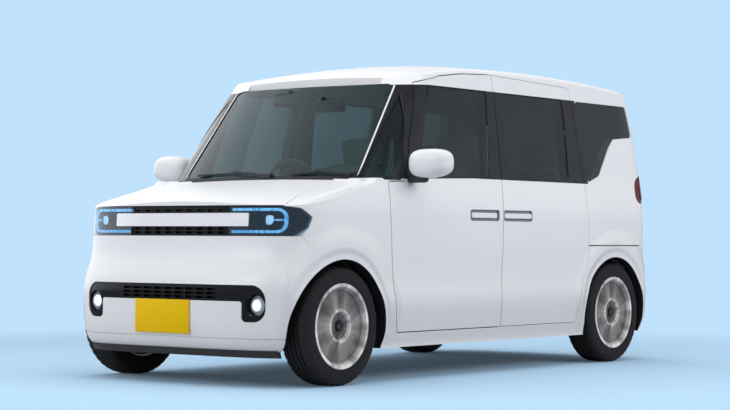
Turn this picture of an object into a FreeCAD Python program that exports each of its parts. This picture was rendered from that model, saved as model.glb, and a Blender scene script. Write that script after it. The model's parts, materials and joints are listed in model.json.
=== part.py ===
import FreeCAD, Part
import math
import os

Vector = FreeCAD.Vector
PARTS = "parts"
os.makedirs(PARTS, exist_ok=True)

# Driving dimensions, in millimetres. +X is the car's left, -Y its front, +Z up.
overall_length = 3395.0
body_width = 1475.0
body_height = 1632.0
wheelbase = 2495.0
front_overhang = 423.5
track_width = 1280.0
tyre_radius = 281.0
tyre_width = 165.0
side_wall = 55.0
roof_wall = 40.0
bonnet_wall = 30.0
glass_thickness = 5.0
glass_depth = 5.0
moving_gap = 5.0
fixed_gap = 3.0
seat_gap = 0.3
overrun = 60.0

# Heights of the main lines of the body side.
sill_bottom = 165.0
door_bottom = 240.0
belt_height = 1000.0
cant_height = 1556.0
glass_top = 1464.0
floor_top = 262.0
floor_thickness = 30.0

# Openings for the wheels.
arch_radius = 328.0
arch_drop = 15.0
front_well_depth = 355.0
rear_well_depth = 225.0

# Places that follow from the driving dimensions.
half_length = overall_length / 2
half_width = body_width / 2
front_axle = front_overhang - half_length
rear_axle = front_axle + wheelbase
wheel_x = track_width / 2
far = overall_length

# Plan sections: height share, half width share, nose share, tail share.
section_shares = (
    (0.100, 0.957, 0.972, 0.978),
    (0.135, 0.976, 0.9945, 0.993),
    (0.165, 0.986, 0.999, 0.998),
    (0.202, 0.993, 1.0, 1.0),
    (0.245, 0.996, 1.0, 1.0),
    (0.282, 0.989, 1.0, 1.0),
    (0.319, 0.989, 0.991, 0.997),
    (0.355, 0.993, 0.974, 0.986),
    (0.392, 0.998, 0.963, 0.976),
    (0.429, 1.000, 0.959, 0.975),
    (0.478, 0.999, 0.956, 0.975),
    (0.521, 0.997, 0.953, 0.974),
    (0.564, 0.991, 0.948, 0.972),
    (0.604, 0.982, 0.944, 0.970),
    (0.643, 0.972, 0.943, 0.967),
    (0.705, 0.955, 0.943, 0.961),
    (0.797, 0.930, 0.943, 0.952),
    (0.889, 0.900, 0.943, 0.941),
    (0.956, 0.868, 0.943, 0.930),
    (1.060, 0.820, 0.943, 0.915),
)
nose_corner_power = 4.2
tail_corner_power = 5.0
nose_corner_depth = 420.0
tail_corner_depth = 300.0

# Centre line over the top: length share, height share, fall at the edge as a height share.
bonnet_line_shares = (
    (-1.060, 0.503, 0.0276),
    (-0.978, 0.524, 0.0245),
    (-0.919, 0.539, 0.0215),
    (-0.825, 0.5607, 0.0172),
    (-0.707, 0.5833, 0.0123),
    (-0.610, 0.603, 0.0074),
)
roof_line_shares = (
    (-0.405, 0.900, 0.0100),
    (-0.380, 0.916, 0.0110),
    (-0.318, 0.9455, 0.0147),
    (-0.236, 0.9669, 0.0184),
    (-0.118, 0.9853, 0.0221),
    (0.030, 0.9963, 0.0245),
    (0.236, 1.0000, 0.0245),
    (0.471, 0.9975, 0.0245),
    (0.707, 0.9877, 0.0245),
    (0.884, 0.9743, 0.0245),
    (1.037, 0.9559, 0.0245),
)
crown_share = 0.8136
roof_rounding = 50.0
screen_foot_share = 0.6037
screen_foot_y_share = -0.6075
screen_head_share = 0.916
screen_head_y_share = -0.378
screen_run_share = screen_head_y_share - screen_foot_y_share
screen_rise_share = screen_head_share - screen_foot_share
screen_corner_depth = 210.0
screen_corner_power = 2.6
corner_margin = 3.0


def box(x0, x1, y0, y1, z0, z1):
    return Part.makeBox(x1 - x0, y1 - y0, z1 - z0, Vector(x0, y0, z0))


def tube_x(radius, x0, x1, y, z):
    return Part.makeCylinder(radius, x1 - x0, Vector(x0, y, z), Vector(1, 0, 0))


def tube_y(radius, x, y0, y1, z):
    return Part.makeCylinder(radius, y1 - y0, Vector(x, y0, z), Vector(0, 1, 0))


def tube_z(radius, x, y, z0, z1):
    return Part.makeCylinder(radius, z1 - z0, Vector(x, y, z0), Vector(0, 0, 1))


def bar(start, end, radius):
    run = end - start
    return Part.makeCylinder(radius, run.Length, start, run)


def fuse(shapes):
    first = shapes[0]
    if len(shapes) > 1:
        first = first.fuse(shapes[1:])
    return first.removeSplitter()


def mirrored(shape):
    return shape.mirror(Vector(0, 0, 0), Vector(1, 0, 0))


def pair(shape):
    return Part.makeCompound([shape, mirrored(shape)])


def outline(points, radius=0.0):
    """Closed wire through the points, its corners rounded by one radius or by one each."""
    count = len(points)
    radii = [radius] * count if isinstance(radius, float) else radius
    corners = []
    for i in range(count):
        before = points[i - 1]
        here = points[i]
        after = points[(i + 1) % count]
        back = (before - here).normalize()
        ahead = (after - here).normalize()
        half = back.getAngle(ahead) / 2
        if radii[i] <= 0 or math.cos(half) < 0.02:
            corners.append((here, None, here))
            continue
        reach = min(radii[i] / math.tan(half), 0.48 * min((before - here).Length, (after - here).Length))
        inner = reach * math.tan(half)
        centre = here + (back + ahead).normalize() * (inner / math.sin(half))
        middle = centre + (here - centre).normalize() * inner
        corners.append((here + back * reach, middle, here + ahead * reach))
    edges = []
    for i in range(count):
        start = corners[i - 1][2]
        first, middle, last = corners[i]
        if (first - start).Length > 0:
            edges.append(Part.makeLine(start, first))
        if middle is not None:
            edges.append(Part.Arc(first, middle, last).toShape())
    return Part.Wire(edges)


def side_prism(points, x0, x1, radius=0.0, grow=0.0):
    """Prism along X of an outline in side view."""
    face = Part.Face(outline([Vector(x0, y, z) for y, z in points], radius))
    if grow:
        face = face.makeOffset2D(grow, 2)
    return face.extrude(Vector(x1 - x0, 0, 0))


def front_prism(points, y0, y1, radius=0.0, grow=0.0):
    """Prism along Y of an outline in front view."""
    face = Part.Face(outline([Vector(x, y0, z) for x, z in points], radius))
    if grow:
        face = face.makeOffset2D(grow, 2)
    return face.extrude(Vector(0, y1 - y0, 0))


def plan_prism(points, z0, z1, radius=0.0, grow=0.0):
    """Prism along Z of an outline in plan view."""
    face = Part.Face(outline([Vector(x, y, z0) for x, y in points], radius))
    if grow:
        face = face.makeOffset2D(grow, 2)
    return face.extrude(Vector(0, 0, z1 - z0))


def rounded_corner(half, depth, power, count):
    """Evenly spaced points of a rounded plan corner, from the centre line to the side."""
    fine = 180
    path = []
    for k in range(fine + 1):
        angle = math.pi / 2 * (1 - k / fine)
        path.append((half * math.cos(angle) ** (2 / power), depth * math.sin(angle) ** (2 / power)))
    run = [0.0]
    for k in range(fine):
        run.append(run[-1] + math.dist(path[k], path[k + 1]))
    points = []
    for k in range(count + 1):
        wanted = run[-1] * k / count
        here = min(range(fine + 1), key=lambda place: abs(run[place] - wanted))
        points.append(path[here])
    return points


def plan_section(height, half, nose, tail, inset):
    """Closed plan outline of the body at one height."""
    half = half - inset
    nose = nose - inset
    tail = tail - inset
    nose_depth = nose_corner_depth - inset
    tail_depth = tail_corner_depth - inset
    corner_points = 9
    side_points = 11
    rear_corner = rounded_corner(half, tail_depth, tail_corner_power, corner_points)
    front_corner = rounded_corner(half, nose_depth, nose_corner_power, corner_points)
    rear = [(x, tail - tail_depth + y) for x, y in rear_corner]
    front = [(x, nose_depth - nose - y) for x, y in front_corner]
    straight = tail - tail_depth + nose - nose_depth
    side = [(half, tail - tail_depth - straight * k / side_points) for k in range(1, side_points)]
    right = rear + side + front[::-1]
    left = [(-x, y) for x, y in reversed(right[1:-1])]
    curve = Part.BSplineCurve()
    curve.interpolate([Vector(x, y, height) for x, y in right + left], PeriodicFlag=True)
    return Part.Wire([curve.toShape()])


def top_section(x, drop, bottom):
    """Closed side outline under the top line of the body at one distance from the centre."""
    fall = (x / (crown_share * half_width)) ** 2

    def place(row):
        length_share, height_share, fall_share = row
        return Vector(x, length_share * half_length, (height_share - fall_share * fall) * body_height - drop)

    def curve(rows):
        line = Part.BSplineCurve()
        line.interpolate([place(row) for row in rows])
        return line.toShape()

    front = place(bonnet_line_shares[0])
    cowl = place(bonnet_line_shares[-1])
    header = place(roof_line_shares[0])
    rear = place(roof_line_shares[-1])
    front_foot = Vector(x, front.y, bottom - overrun)
    rear_foot = Vector(x, rear.y, bottom - overrun)
    return Part.Wire([
        curve(bonnet_line_shares),
        Part.makeLine(cowl, header),
        curve(roof_line_shares),
        Part.makeLine(rear, rear_foot),
        Part.makeLine(rear_foot, front_foot),
        Part.makeLine(front_foot, front),
    ])


def body_form(inset, drop, bottom=sill_bottom):
    """Form of the body, drawn in by inset all round and by drop from above."""
    sections = []
    for height, width, nose, tail in section_shares:
        z = height * body_height
        if height == section_shares[0][0]:
            z = bottom
        sections.append(plan_section(z, width * half_width, nose * half_length, tail * half_length, inset))
    plan = Part.makeLoft(sections, True, False)
    stations = [half_width * crown_share * step / 3 for step in range(-4, 5)]
    top = Part.makeLoft([top_section(x, drop, bottom) for x in stations], True, False)
    return plan.common(top).common(cabin_form(inset, drop))


def rounded_form(inset):
    """The same form with its screen and roof edges rounded."""
    form = body_form(inset, inset)
    return form.makeFillet(roof_rounding - inset, roof_edges(form))


def cabin_form(inset, drop):
    """Upper body behind the screen, with its front corners rounded in plan."""
    half_shares = [(row[0], row[1]) for row in section_shares if row[0] > screen_foot_share - 0.1]
    sections = []
    side_steps = 6
    for height, width in half_shares:
        z = height * body_height
        above = (height - screen_foot_share) / screen_rise_share
        front = (screen_foot_y_share + above * screen_run_share) * half_length + inset
        half = width * half_width + corner_margin - inset
        corner = rounded_corner(half, screen_corner_depth - inset, screen_corner_power, 9)
        nose = [(x, front + screen_corner_depth - inset - y) for x, y in corner]
        start = nose[-1][1]
        side = [(half, start + (overall_length - start) * k / side_steps) for k in range(1, side_steps + 1)]
        right = nose + side
        points = [(-x, y) for x, y in reversed(right[1:])] + right
        curve = Part.BSplineCurve()
        curve.interpolate([Vector(x, y, z) for x, y in points])
        first = Vector(points[0][0], points[0][1], z)
        last = Vector(points[-1][0], points[-1][1], z)
        sections.append(Part.Wire([curve.toShape(), Part.makeLine(last, first)]))
    cabin = Part.makeLoft(sections, True, False)
    foot = screen_foot_share * body_height - drop
    room = box(-far, far, -far, far, foot, far)
    below = box(-far, far, -far, far, -far, foot)
    return cabin.common(room).fuse(below)


def roof_edges(form):
    """The two long edges between the roof and the sides."""
    high = 0.85 * body_height
    return [edge for edge in form.Edges if edge.BoundBox.ZMin > high and edge.Length > half_length]


outer = rounded_form(0.0)
pane_out = rounded_form(glass_depth)
pane_in = rounded_form(glass_depth + glass_thickness)
inner = body_form(side_wall, roof_wall, sill_bottom - overrun)
under_bonnet = body_form(side_wall, bonnet_wall, sill_bottom - overrun)
frame_depth = 35.0
frame_out = body_form(side_wall + moving_gap, roof_wall + seat_gap)
frame_in = body_form(side_wall + moving_gap + frame_depth, roof_wall + frame_depth, sill_bottom - overrun)


def arch(axle, depth, clearance=0.0):
    """Space of one wheel on the left side."""
    centre = tyre_radius - arch_drop
    return tube_x(arch_radius + clearance, half_width - depth - clearance, half_width + overrun, axle, centre)


front_arch = arch(front_axle, front_well_depth)
rear_arch = arch(rear_axle, rear_well_depth)

# Side view of the shut lines, as distances behind the front axle or ahead of the rear one.
door_foot_back = 423.0
door_mid_back = 364.0
door_belt_back = 347.0
sash_belt_back = 484.0
sash_top_back = 751.0
door_split_back = 1335.0
split_lean = 10.0
slide_top_ahead = 393.0
slide_belt_ahead = 332.0
slide_waist_ahead = 304.0
slide_foot_ahead = 433.0
door_mid_height = 650.0
fender_top = 968.0
pillar_width = 45.0
door_rounding = 12.0

split_low = front_axle + door_split_back - split_lean
split_high = front_axle + door_split_back + split_lean
half_gap = moving_gap / 2
slide_end = rear_axle - slide_belt_ahead

front_door_side = (
    (front_axle + door_foot_back, door_bottom),
    (front_axle + door_mid_back, door_mid_height),
    (front_axle + door_belt_back, fender_top),
    (front_axle + sash_belt_back, fender_top + moving_gap),
    (front_axle + 0.74 * sash_top_back, 1.181 * belt_height),
    (front_axle + 0.952 * sash_top_back, 0.95 * cant_height),
    (front_axle + 1.164 * sash_top_back, 0.9756 * cant_height),
    (front_axle + 1.430 * sash_top_back, 0.9916 * cant_height),
    (split_high - half_gap, cant_height),
    (split_low - half_gap, door_bottom),
)
slide_door_side = (
    (split_low + half_gap, door_bottom),
    (split_high + half_gap, cant_height),
    (rear_axle - slide_top_ahead, cant_height - 0.4 * side_wall),
    (slide_end, belt_height),
    (rear_axle - slide_waist_ahead, 0.81 * belt_height),
    (rear_axle - slide_waist_ahead, 0.60 * belt_height),
    (rear_axle - 1.05 * slide_belt_ahead, 0.47 * belt_height),
    (rear_axle - 1.17 * slide_belt_ahead, 0.36 * belt_height),
    (rear_axle - slide_foot_ahead, door_bottom),
)

# Side view of the window openings.
window_rounding = 22.0
small_rounding = 14.0
front_glass_side = (
    (front_axle + 1.244 * sash_belt_back, 0.991 * belt_height),
    (front_axle + 1.0027 * sash_top_back, glass_top),
    (split_high - 1.49 * pillar_width, glass_top),
    (split_low - 2.311 * pillar_width, 1.008 * belt_height),
)
slide_glass_side = (
    (split_low + 1.733 * pillar_width, 1.012 * belt_height),
    (split_high + 2.022 * pillar_width, glass_top),
    (rear_axle - 1.1985 * slide_top_ahead, glass_top),
    (rear_axle - 1.467 * slide_belt_ahead, 1.022 * belt_height),
)
small_glass_side = (
    (front_axle + 0.3822 * sash_top_back, 0.978 * belt_height),
    (front_axle + 0.6072 * sash_top_back, 0.978 * belt_height),
    (front_axle + 0.7031 * sash_top_back, 1.181 * belt_height),
    (front_axle + 0.8029 * sash_top_back, 1.332 * belt_height),
    (front_axle + 0.8868 * sash_top_back, 0.9959 * glass_top),
    (front_axle + 0.8469 * sash_top_back, 0.9959 * glass_top),
)
quarter_glass_side = (
    (rear_axle - 0.8735 * slide_belt_ahead, 1.009 * belt_height),
    (rear_axle - 0.4819 * slide_belt_ahead, 1.053 * belt_height),
    (rear_axle - 0.0663 * slide_belt_ahead, 1.216 * belt_height),
    (rear_axle + 0.1175 * slide_belt_ahead, 1.268 * belt_height),
    (rear_axle + 0.7680 * slide_belt_ahead, 1.286 * belt_height),
    (rear_axle + 0.6657 * slide_belt_ahead, glass_top),
    (rear_axle - 1.0301 * slide_belt_ahead, glass_top),
)


def symmetric(points):
    """Closed outline of one side's points, from the foot up, and of their mirror images."""
    return list(points) + [(-x, place) for x, place in reversed(points)]


# Plan view of the bonnet.
bonnet_rear = -1035.2
bonnet_half_rear = 489.0
bonnet_half_front = 596.0
bonnet_bottom = 846.0
bonnet_rounding = 30.0
bonnet_plan = symmetric((
    (1.01 * bonnet_half_front, -far),
    (bonnet_half_front, front_axle - 0.8415 * arch_radius),
    (1.05 * bonnet_half_rear, front_axle - 0.137 * arch_radius),
    (bonnet_half_rear, bonnet_rear),
))

# Front view of the tailgate and its glass.
tailgate_depth = 217.5
tailgate_bottom = 600.0
tailgate_half = 628.0
tailgate_rounding = 40.0
glass_rounding = 45.0
tailgate_front = half_length - tailgate_depth
tailgate_view = symmetric((
    (0.952 * tailgate_half, tailgate_bottom),
    (tailgate_half, 0.8 * belt_height),
    (tailgate_half, belt_height),
    (0.920 * tailgate_half, glass_top),
    (0.8885 * tailgate_half, body_height + overrun),
))
rear_glass_view = symmetric((
    (0.8646 * tailgate_half, 1.01 * belt_height),
    (0.8089 * tailgate_half, 0.9863 * glass_top),
))

# Front view of the windscreen.
screen_half_low = 564.0
screen_half_high = 519.0
screen_low = 1000.0
screen_high = 1474.0
screen_view = symmetric(((screen_half_low, screen_low), (screen_half_high, screen_high)))

# Cover under the foot of the screen, and the bulkhead behind it.
cowl_half = 560.0
cowl_depth = 95.0
bulkhead_back = 352.0
cowl_front = bonnet_rear + moving_gap
bulkhead = front_axle + bulkhead_back

# Side view of the bumpers and of the black band across the nose.
band_low = 702.0
band_high = 846.0
band_tip = 206.0
band_rounding = 18.0
band_height = band_high - band_low
seam_low_ahead = 166.0
seam_low_height = 520.0
seam_high_ahead = 246.0
front_bumper_side = (
    (-far, -overrun),
    (front_axle, -overrun),
    (front_axle, tyre_radius),
    (front_axle - seam_low_ahead, seam_low_height),
    (front_axle - seam_high_ahead, band_low),
    (-far, band_low),
)
band_side = (
    (-far, band_low),
    (front_axle - 1.388 * band_tip, band_low),
    (front_axle - 1.097 * band_tip, band_low + 0.264 * band_height),
    (front_axle - band_tip, band_low + 0.611 * band_height),
    (front_axle - seam_high_ahead, band_low + 0.889 * band_height),
    (front_axle - 1.5825 * band_tip, band_high),
    (-far, band_high),
)
fender_side = (
    (front_axle - seam_high_ahead, band_low + fixed_gap),
    (front_axle - seam_low_ahead, seam_low_height),
    (front_axle, tyre_radius),
    (front_axle, -overrun),
    (front_axle + door_foot_back - moving_gap, -overrun),
    (front_axle + door_foot_back - moving_gap, door_bottom),
    (front_axle + door_mid_back - moving_gap, door_mid_height),
    (front_axle + door_belt_back - moving_gap, fender_top + moving_gap),
    (front_axle + door_belt_back - moving_gap, body_height),
    (-far, body_height),
    (-far, band_high + fixed_gap),
    (front_axle - 1.5825 * band_tip, band_high + fixed_gap),
    (front_axle - seam_high_ahead, band_low + 0.889 * band_height + fixed_gap),
    (front_axle - band_tip + fixed_gap, band_low + 0.611 * band_height),
    (front_axle - 1.097 * band_tip + fixed_gap, band_low + 0.264 * band_height),
)
rear_seam_low_back = 235.0
rear_seam_low_height = 500.0
rear_seam_high_back = 320.0
rear_bumper_side = (
    (rear_axle, -overrun),
    (far, -overrun),
    (far, tailgate_bottom - moving_gap),
    (rear_axle + rear_seam_high_back, tailgate_bottom - moving_gap),
    (rear_axle + rear_seam_low_back, rear_seam_low_height),
    (rear_axle, tyre_radius),
)

# Front view of the lower grille, with a place for one fog lamp at each end.
lip_seam = 226.0
grille_high = 476.0
grille_low = 305.0
grille_inner_low = 400.0
grille_inner_half = 447.0
grille_half = 572.0
grille_corner = 24.0
grille_end_corner = 72.0
lower_grille_view = symmetric((
    (grille_inner_half, grille_inner_low),
    (grille_inner_half, grille_low),
    (grille_half, grille_low),
    (grille_half, grille_high),
))
grille_corners = (0.5 * grille_corner, grille_corner, grille_end_corner, grille_end_corner)
grille_rounding = grille_corners + grille_corners[::-1]

# Roof panel in plan, and the tail lamps in side view.
roof_half = 572.0
roof_front = -600.0
roof_corner = 40.0
roof_plan = symmetric(((roof_half, roof_front), (roof_half, tailgate_front - moving_gap)))
lamp_low = 905.0
lamp_high = 1055.0
lamp_front_back = 226.0
lamp_rounding = 60.0
tail_lamp_side = (
    (rear_axle + lamp_front_back, lamp_low),
    (far, lamp_low),
    (far, lamp_high),
    (rear_axle + lamp_front_back, lamp_high),
)

# Cutting shapes, each used by the piece inside it and by its neighbours.
x_in = 0.60 * half_width
x_out = half_width + overrun
small_glass_in = 0.77 * half_width
door_in = roof_half + fixed_gap
headlamp_inner = 316.0
door_cut = side_prism(front_door_side, door_in, x_out, door_rounding)
slide_cut = side_prism(slide_door_side, door_in, x_out, door_rounding)
door_room = side_prism(front_door_side, roof_half, x_out, door_rounding, moving_gap)
slide_room = side_prism(slide_door_side, roof_half, x_out, door_rounding, fixed_gap)
bonnet_cut = plan_prism(bonnet_plan, bonnet_bottom, body_height, bonnet_rounding)
bonnet_room = plan_prism(bonnet_plan, bonnet_bottom - moving_gap, body_height, bonnet_rounding, moving_gap)
lower_grille_cut = front_prism(lower_grille_view, -far, front_axle, grille_rounding, -seat_gap)
lower_grille_room = front_prism(lower_grille_view, -far, front_axle, grille_rounding)
tailgate_cut = front_prism(tailgate_view, tailgate_front, far, tailgate_rounding)
tailgate_room = front_prism(tailgate_view, tailgate_front - moving_gap, far, tailgate_rounding, moving_gap)
rear_glass_cut = front_prism(rear_glass_view, tailgate_front, far, glass_rounding)
screen_cut = front_prism(screen_view, -0.75 * half_length, -0.3 * half_length, glass_rounding)
roof_cut = plan_prism(roof_plan, belt_height, body_height + overrun, roof_corner)
roof_room = plan_prism(roof_plan, belt_height, body_height + overrun, roof_corner, seat_gap)
lamp_cut = side_prism(tail_lamp_side, x_in, x_out, lamp_rounding)
bumper_cut = side_prism(front_bumper_side, -x_out, x_out)
rear_bumper_cut = side_prism(rear_bumper_side, -x_out, x_out)
band_cut = side_prism(band_side, -x_out, x_out, band_rounding)
fender_cut = side_prism(fender_side, 0.9 * x_in, x_out)


def window_pane(view_cut):
    return pane_out.common(view_cut).cut(pane_in)


# Door handles: each is a bar left standing in a shallow recess.
handle_low = 803.0
handle_high = 829.0
handle_floor_depth = 16.0
handle_back_depth = 9.0
handle_end = 26.0
handle_reach = 16.0
recess_rounding = 14.0
grip_rounding = 10.0
front_handle_back = 1045.0
front_handle_length = 229.0
slide_handle_ahead = 1145.0
slide_handle_length = 255.0
roller_width = 40.0
roller_inset = 75.0
roller_high = 4.0


def handle_recess(y0, y1, open_front, open_rear):
    """Room round one handle; the grip between y0 and y1 stays."""
    floor = half_width - handle_floor_depth
    below = floor - seat_gap
    room = side_prism((
        (y0 - open_front, handle_low - handle_reach),
        (y1 + open_rear, handle_low - handle_reach),
        (y1 + open_rear, handle_high + handle_reach),
        (y0 - open_front, handle_high + handle_reach),
    ), floor, x_out, recess_rounding)
    grip = side_prism((
        (y0, handle_low),
        (y1, handle_low),
        (y1, handle_high),
        (y0, handle_high),
    ), below, x_out, grip_rounding)
    back = half_width - handle_back_depth
    behind = box(below, back, y0 + handle_end, y1 - handle_end, handle_low - seat_gap, handle_high + seat_gap)
    return room.cut(grip.cut(behind))


# Closed panels, each as thick as the whole wall.
def left_door():
    panel = outer.common(door_cut).cut(inner)
    panel = panel.cut(side_prism(front_glass_side, x_in, x_out, window_rounding, seat_gap))
    start = front_axle + front_handle_back
    end = start + front_handle_length
    return panel.cut(handle_recess(start, end, recess_rounding, handle_end))


def left_slide_door():
    panel = outer.common(slide_cut).cut(inner)
    panel = panel.cut(side_prism(slide_glass_side, x_in, x_out, window_rounding, seat_gap))
    start = rear_axle - slide_handle_ahead
    panel = panel.cut(handle_recess(start, start + slide_handle_length, grip_rounding, grip_rounding))
    rollers = []
    x = door_in + roller_inset
    low = door_bottom - fixed_gap + seat_gap
    for y in (split_low + 3 * roller_width, rear_axle - slide_foot_ahead - 4 * roller_width):
        rollers.append(box(x, x + roller_width, y, y + roller_width, low, door_bottom + roller_high))
    return panel.fuse(rollers)


def bonnet():
    return outer.common(bonnet_cut).cut(under_bonnet)


def tailgate():
    panel = outer.common(tailgate_cut).cut(inner)
    return panel.cut(front_prism(rear_glass_view, tailgate_front, far, glass_rounding, seat_gap))


def left_fender():
    wing = outer.common(fender_cut).cut(under_bonnet)
    pillar_foot = box(0, far, cowl_front - seat_gap, 0, fender_top + moving_gap - seat_gap, far)
    cowl_room = box(0, cowl_half + seat_gap, cowl_front - seat_gap, 0, 0, far)
    return wing.cut([front_arch, bonnet_room, pillar_foot, cowl_room])


def front_bumper():
    panel = outer.common(bumper_cut).cut(inner)
    seam = outer.cut(pane_out).common(box(-far, far, -far, front_axle, lip_seam, lip_seam + fixed_gap))
    return panel.cut([front_arch, mirrored(front_arch), lower_grille_room, seam])


def rear_bumper():
    panel = outer.common(rear_bumper_cut).cut(inner)
    return panel.cut([rear_arch, mirrored(rear_arch)])


def roof_panel():
    return outer.common(roof_cut).cut(inner).cut(screen_cut)


def cowl():
    rear = bulkhead - seat_gap
    low = belt_height - cowl_depth
    return outer.common(box(-cowl_half, cowl_half, cowl_front, rear, low, screen_low - seat_gap))


# Lamps of the nose.
fog_x = 514.0
fog_z = 382.0
fog_radius = 38.0
fog_bowl_radius = 50.0
fog_bowl_depth = 10.0
fog_depth = 40.0
fog_setback = 46.0
fog_face_y = fog_setback - half_length
projector_x = 528.0
projector_z = 777.0
projector_radius = 24.0
projector_depth = 40.0
projector_y = -1566.0
lens_dome_share = 0.3


def lens(radius, x, y, z, depth):
    """Round lamp with a domed front."""
    barrel = tube_y(radius, x, y, y + depth, z)
    front = [edge for edge in barrel.Edges if edge.BoundBox.YMax < y + seat_gap]
    return barrel.makeFillet(lens_dome_share * radius, front)


def lamp_lenses():
    pieces = []
    for side in (1, -1):
        pieces.append(lens(fog_radius, side * fog_x, fog_face_y, fog_z, fog_depth))
        pieces.append(lens(projector_radius, side * projector_x, projector_y, projector_z, projector_depth))
    return Part.makeCompound(pieces)


# Rows of openings in the two grilles, between upright ribs.
rib_pitch = 62.0
rib_width = 6.0
slot_depth = 22.0
slot_height = 12.0
slot_pitch = 19.0
lower_slots_low = 410.0
lower_slot_rows = 3
lower_slots_half_share = 0.68
upper_slots_inset = 12.0
upper_slots_low = 712.0
upper_slot_pitch = 18.0
top_slot_low = 818.0
top_slot_height = 10.0
bar_low = 748.0
bar_high = 810.0
bar_half = 428.0
bar_rounding = 8.0


def slots(half, low, high, face_y):
    """One row of openings between ribs."""
    count = int(2 * half / rib_pitch)
    pitch = 2 * half / count
    row = []
    for k in range(count):
        x = k * pitch - half
        row.append(box(x + rib_width / 2, x + pitch - rib_width / 2, -far, face_y + slot_depth, low, high))
    return row


def lower_grille():
    band = pane_out.common(lower_grille_cut).cut(inner)
    face = glass_depth - section_shares[4][2] * half_length
    cuts = []
    for row in range(lower_slot_rows):
        low = lower_slots_low + row * slot_pitch
        cuts += slots(lower_slots_half_share * grille_inner_half, low, low + slot_height, face)
    for side in (1, -1):
        cuts.append(tube_y(fog_bowl_radius, side * fog_x, -far, fog_face_y + fog_bowl_depth, fog_z))
        cuts.append(tube_y(fog_radius + seat_gap, side * fog_x, -far, front_axle, fog_z))
    return band.cut(cuts)


def nose_region(x0, x1):
    """Part of the black band across the nose."""
    return band_cut.common(box(x0, x1, -far, 0, 0, body_height))


def upper_grille():
    """Black backing of the whole band, with its openings and places for the lamps."""
    backing = pane_in.common(nose_region(-far, far)).cut(inner).cut(bonnet_room)
    face = -section_shares[11][2] * half_length
    half = headlamp_inner - upper_slots_inset
    cuts = slots(half, upper_slots_low, upper_slots_low + slot_height, face)
    second = upper_slots_low + upper_slot_pitch
    cuts += slots(half, second, second + slot_height, face)
    cuts += slots(half, top_slot_low, top_slot_low + top_slot_height, face)
    for side in (1, -1):
        cuts.append(tube_y(projector_radius + seat_gap, side * projector_x, -far, 0, projector_z))
    return backing.cut(cuts)


def rounded_box(x0, x1, z0, z1, radius):
    """Prism of a rounded rectangle in front view."""
    return front_prism(((x0, z0), (x1, z0), (x1, z1), (x0, z1)), -far, front_axle, radius)


def nose_bar():
    return outer.common(rounded_box(-bar_half, bar_half, bar_low, bar_high, bar_rounding)).cut(pane_in)


def bar_room():
    half = bar_half + seat_gap
    return box(-half, half, -far, 0, bar_low - seat_gap, bar_high + seat_gap)


guide_width = 13.0
guide_inset = 14.0
guide_outer = 618.0
guide_corner = 46.0
stub_height = 8.0
stub_gap = 6.0


def left_light_guide():
    """U-shaped light guide, open toward the centre, with a short bar to the projector."""
    inner_x = headlamp_inner + guide_inset
    low = band_low + guide_inset
    high = band_high - guide_inset
    whole = rounded_box(inner_x - 2 * guide_corner, guide_outer, low, high, guide_corner)
    end = guide_outer - guide_width
    inside = guide_corner - guide_width
    hollow = rounded_box(inner_x - 3 * guide_corner, end, low + guide_width, high - guide_width, inside)
    stub_start = projector_x + projector_radius + stub_gap
    stub_low = projector_z - stub_height / 2
    stub = box(stub_start, end + guide_width / 2, -far, front_axle, stub_low, stub_low + stub_height)
    region = whole.cut([hollow, box(-far, inner_x, -far, far, 0, far)]).fuse(stub)
    return pane_out.common(region).cut(pane_in).cut(bonnet_room)


def left_lamp_cover():
    cover = outer.common(nose_region(headlamp_inner + seat_gap, far)).cut(pane_out)
    return cover.cut([bonnet_room, bar_room()])


def left_tail_lamp():
    return outer.common(lamp_cut).cut(inner).cut(tailgate_room)


# Body side: quarter panel, sill, pillars and roof rail in one.
rail_low = 657.0
rail_height = 7.0
rail_depth = 30.0
rail_end_back = 266.0
rail_start = 20.0
sill_half = 590.0
side_front_back = 150.0
side_front = front_axle + side_front_back
hoop_start = 105.0
hoop_end = 30.0
floor_bottom = floor_top - floor_thickness


def left_side():
    region = box(x_in, far, side_front, far, 0, far)
    sill = box(sill_half, far, front_axle, rear_axle, 0, door_bottom - moving_gap)
    side = outer.common(region).cut(inner.cut(sill))
    fender_room = side_prism(fender_side, 0.5 * x_in, x_out, 0.0, seat_gap)
    fender_room = fender_room.cut(box(0, far, cowl_front, 0, fender_top + moving_gap, far))
    rooms = [door_room, slide_room]
    rooms += [side_prism(small_glass_side, small_glass_in, x_out, small_rounding, seat_gap)]
    rooms += [side_prism(quarter_glass_side, x_in, x_out, window_rounding, seat_gap)]
    rooms += [fender_room, screen_cut, roof_room, lamp_cut, tailgate_room]
    rooms += [bonnet_room, front_arch, rear_arch]
    rooms += [side_prism(rear_bumper_side, 0, x_out, 0.0, seat_gap)]
    rooms += [box(0, cowl_half + seat_gap, -far, bulkhead + floor_thickness, 0, screen_low)]
    rail_end = rear_axle + rail_end_back
    rail_high = rail_low + rail_height
    rooms += [box(half_width - rail_depth, x_out, slide_end + rail_start, rail_end, rail_low, rail_high)]
    for room in rooms:
        side = side.cut(room)
    return side


def pillar_hoops():
    """Hoops behind the door edges, on the sills and under the roof."""
    frame = frame_out.cut(frame_in)
    foot = door_bottom - moving_gap + seat_gap
    middle = box(-far, far, split_low - pillar_width, split_high + pillar_width, foot, far)
    rear = box(-far, far, slide_end - hoop_start, slide_end - hoop_end, foot, far)
    return Part.makeCompound([frame.common(middle), frame.common(rear)])


# Floor, bulkhead and wheel housings.
skin_thickness = 6.0
bulkhead_half = 600.0
bulkhead_drop = 70.0
floor_end = 105.0
floor_rear = half_length - floor_end
rear_step_ahead = 415.0
rear_step = rear_axle - rear_step_ahead
rear_floor_top = 340.0


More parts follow.
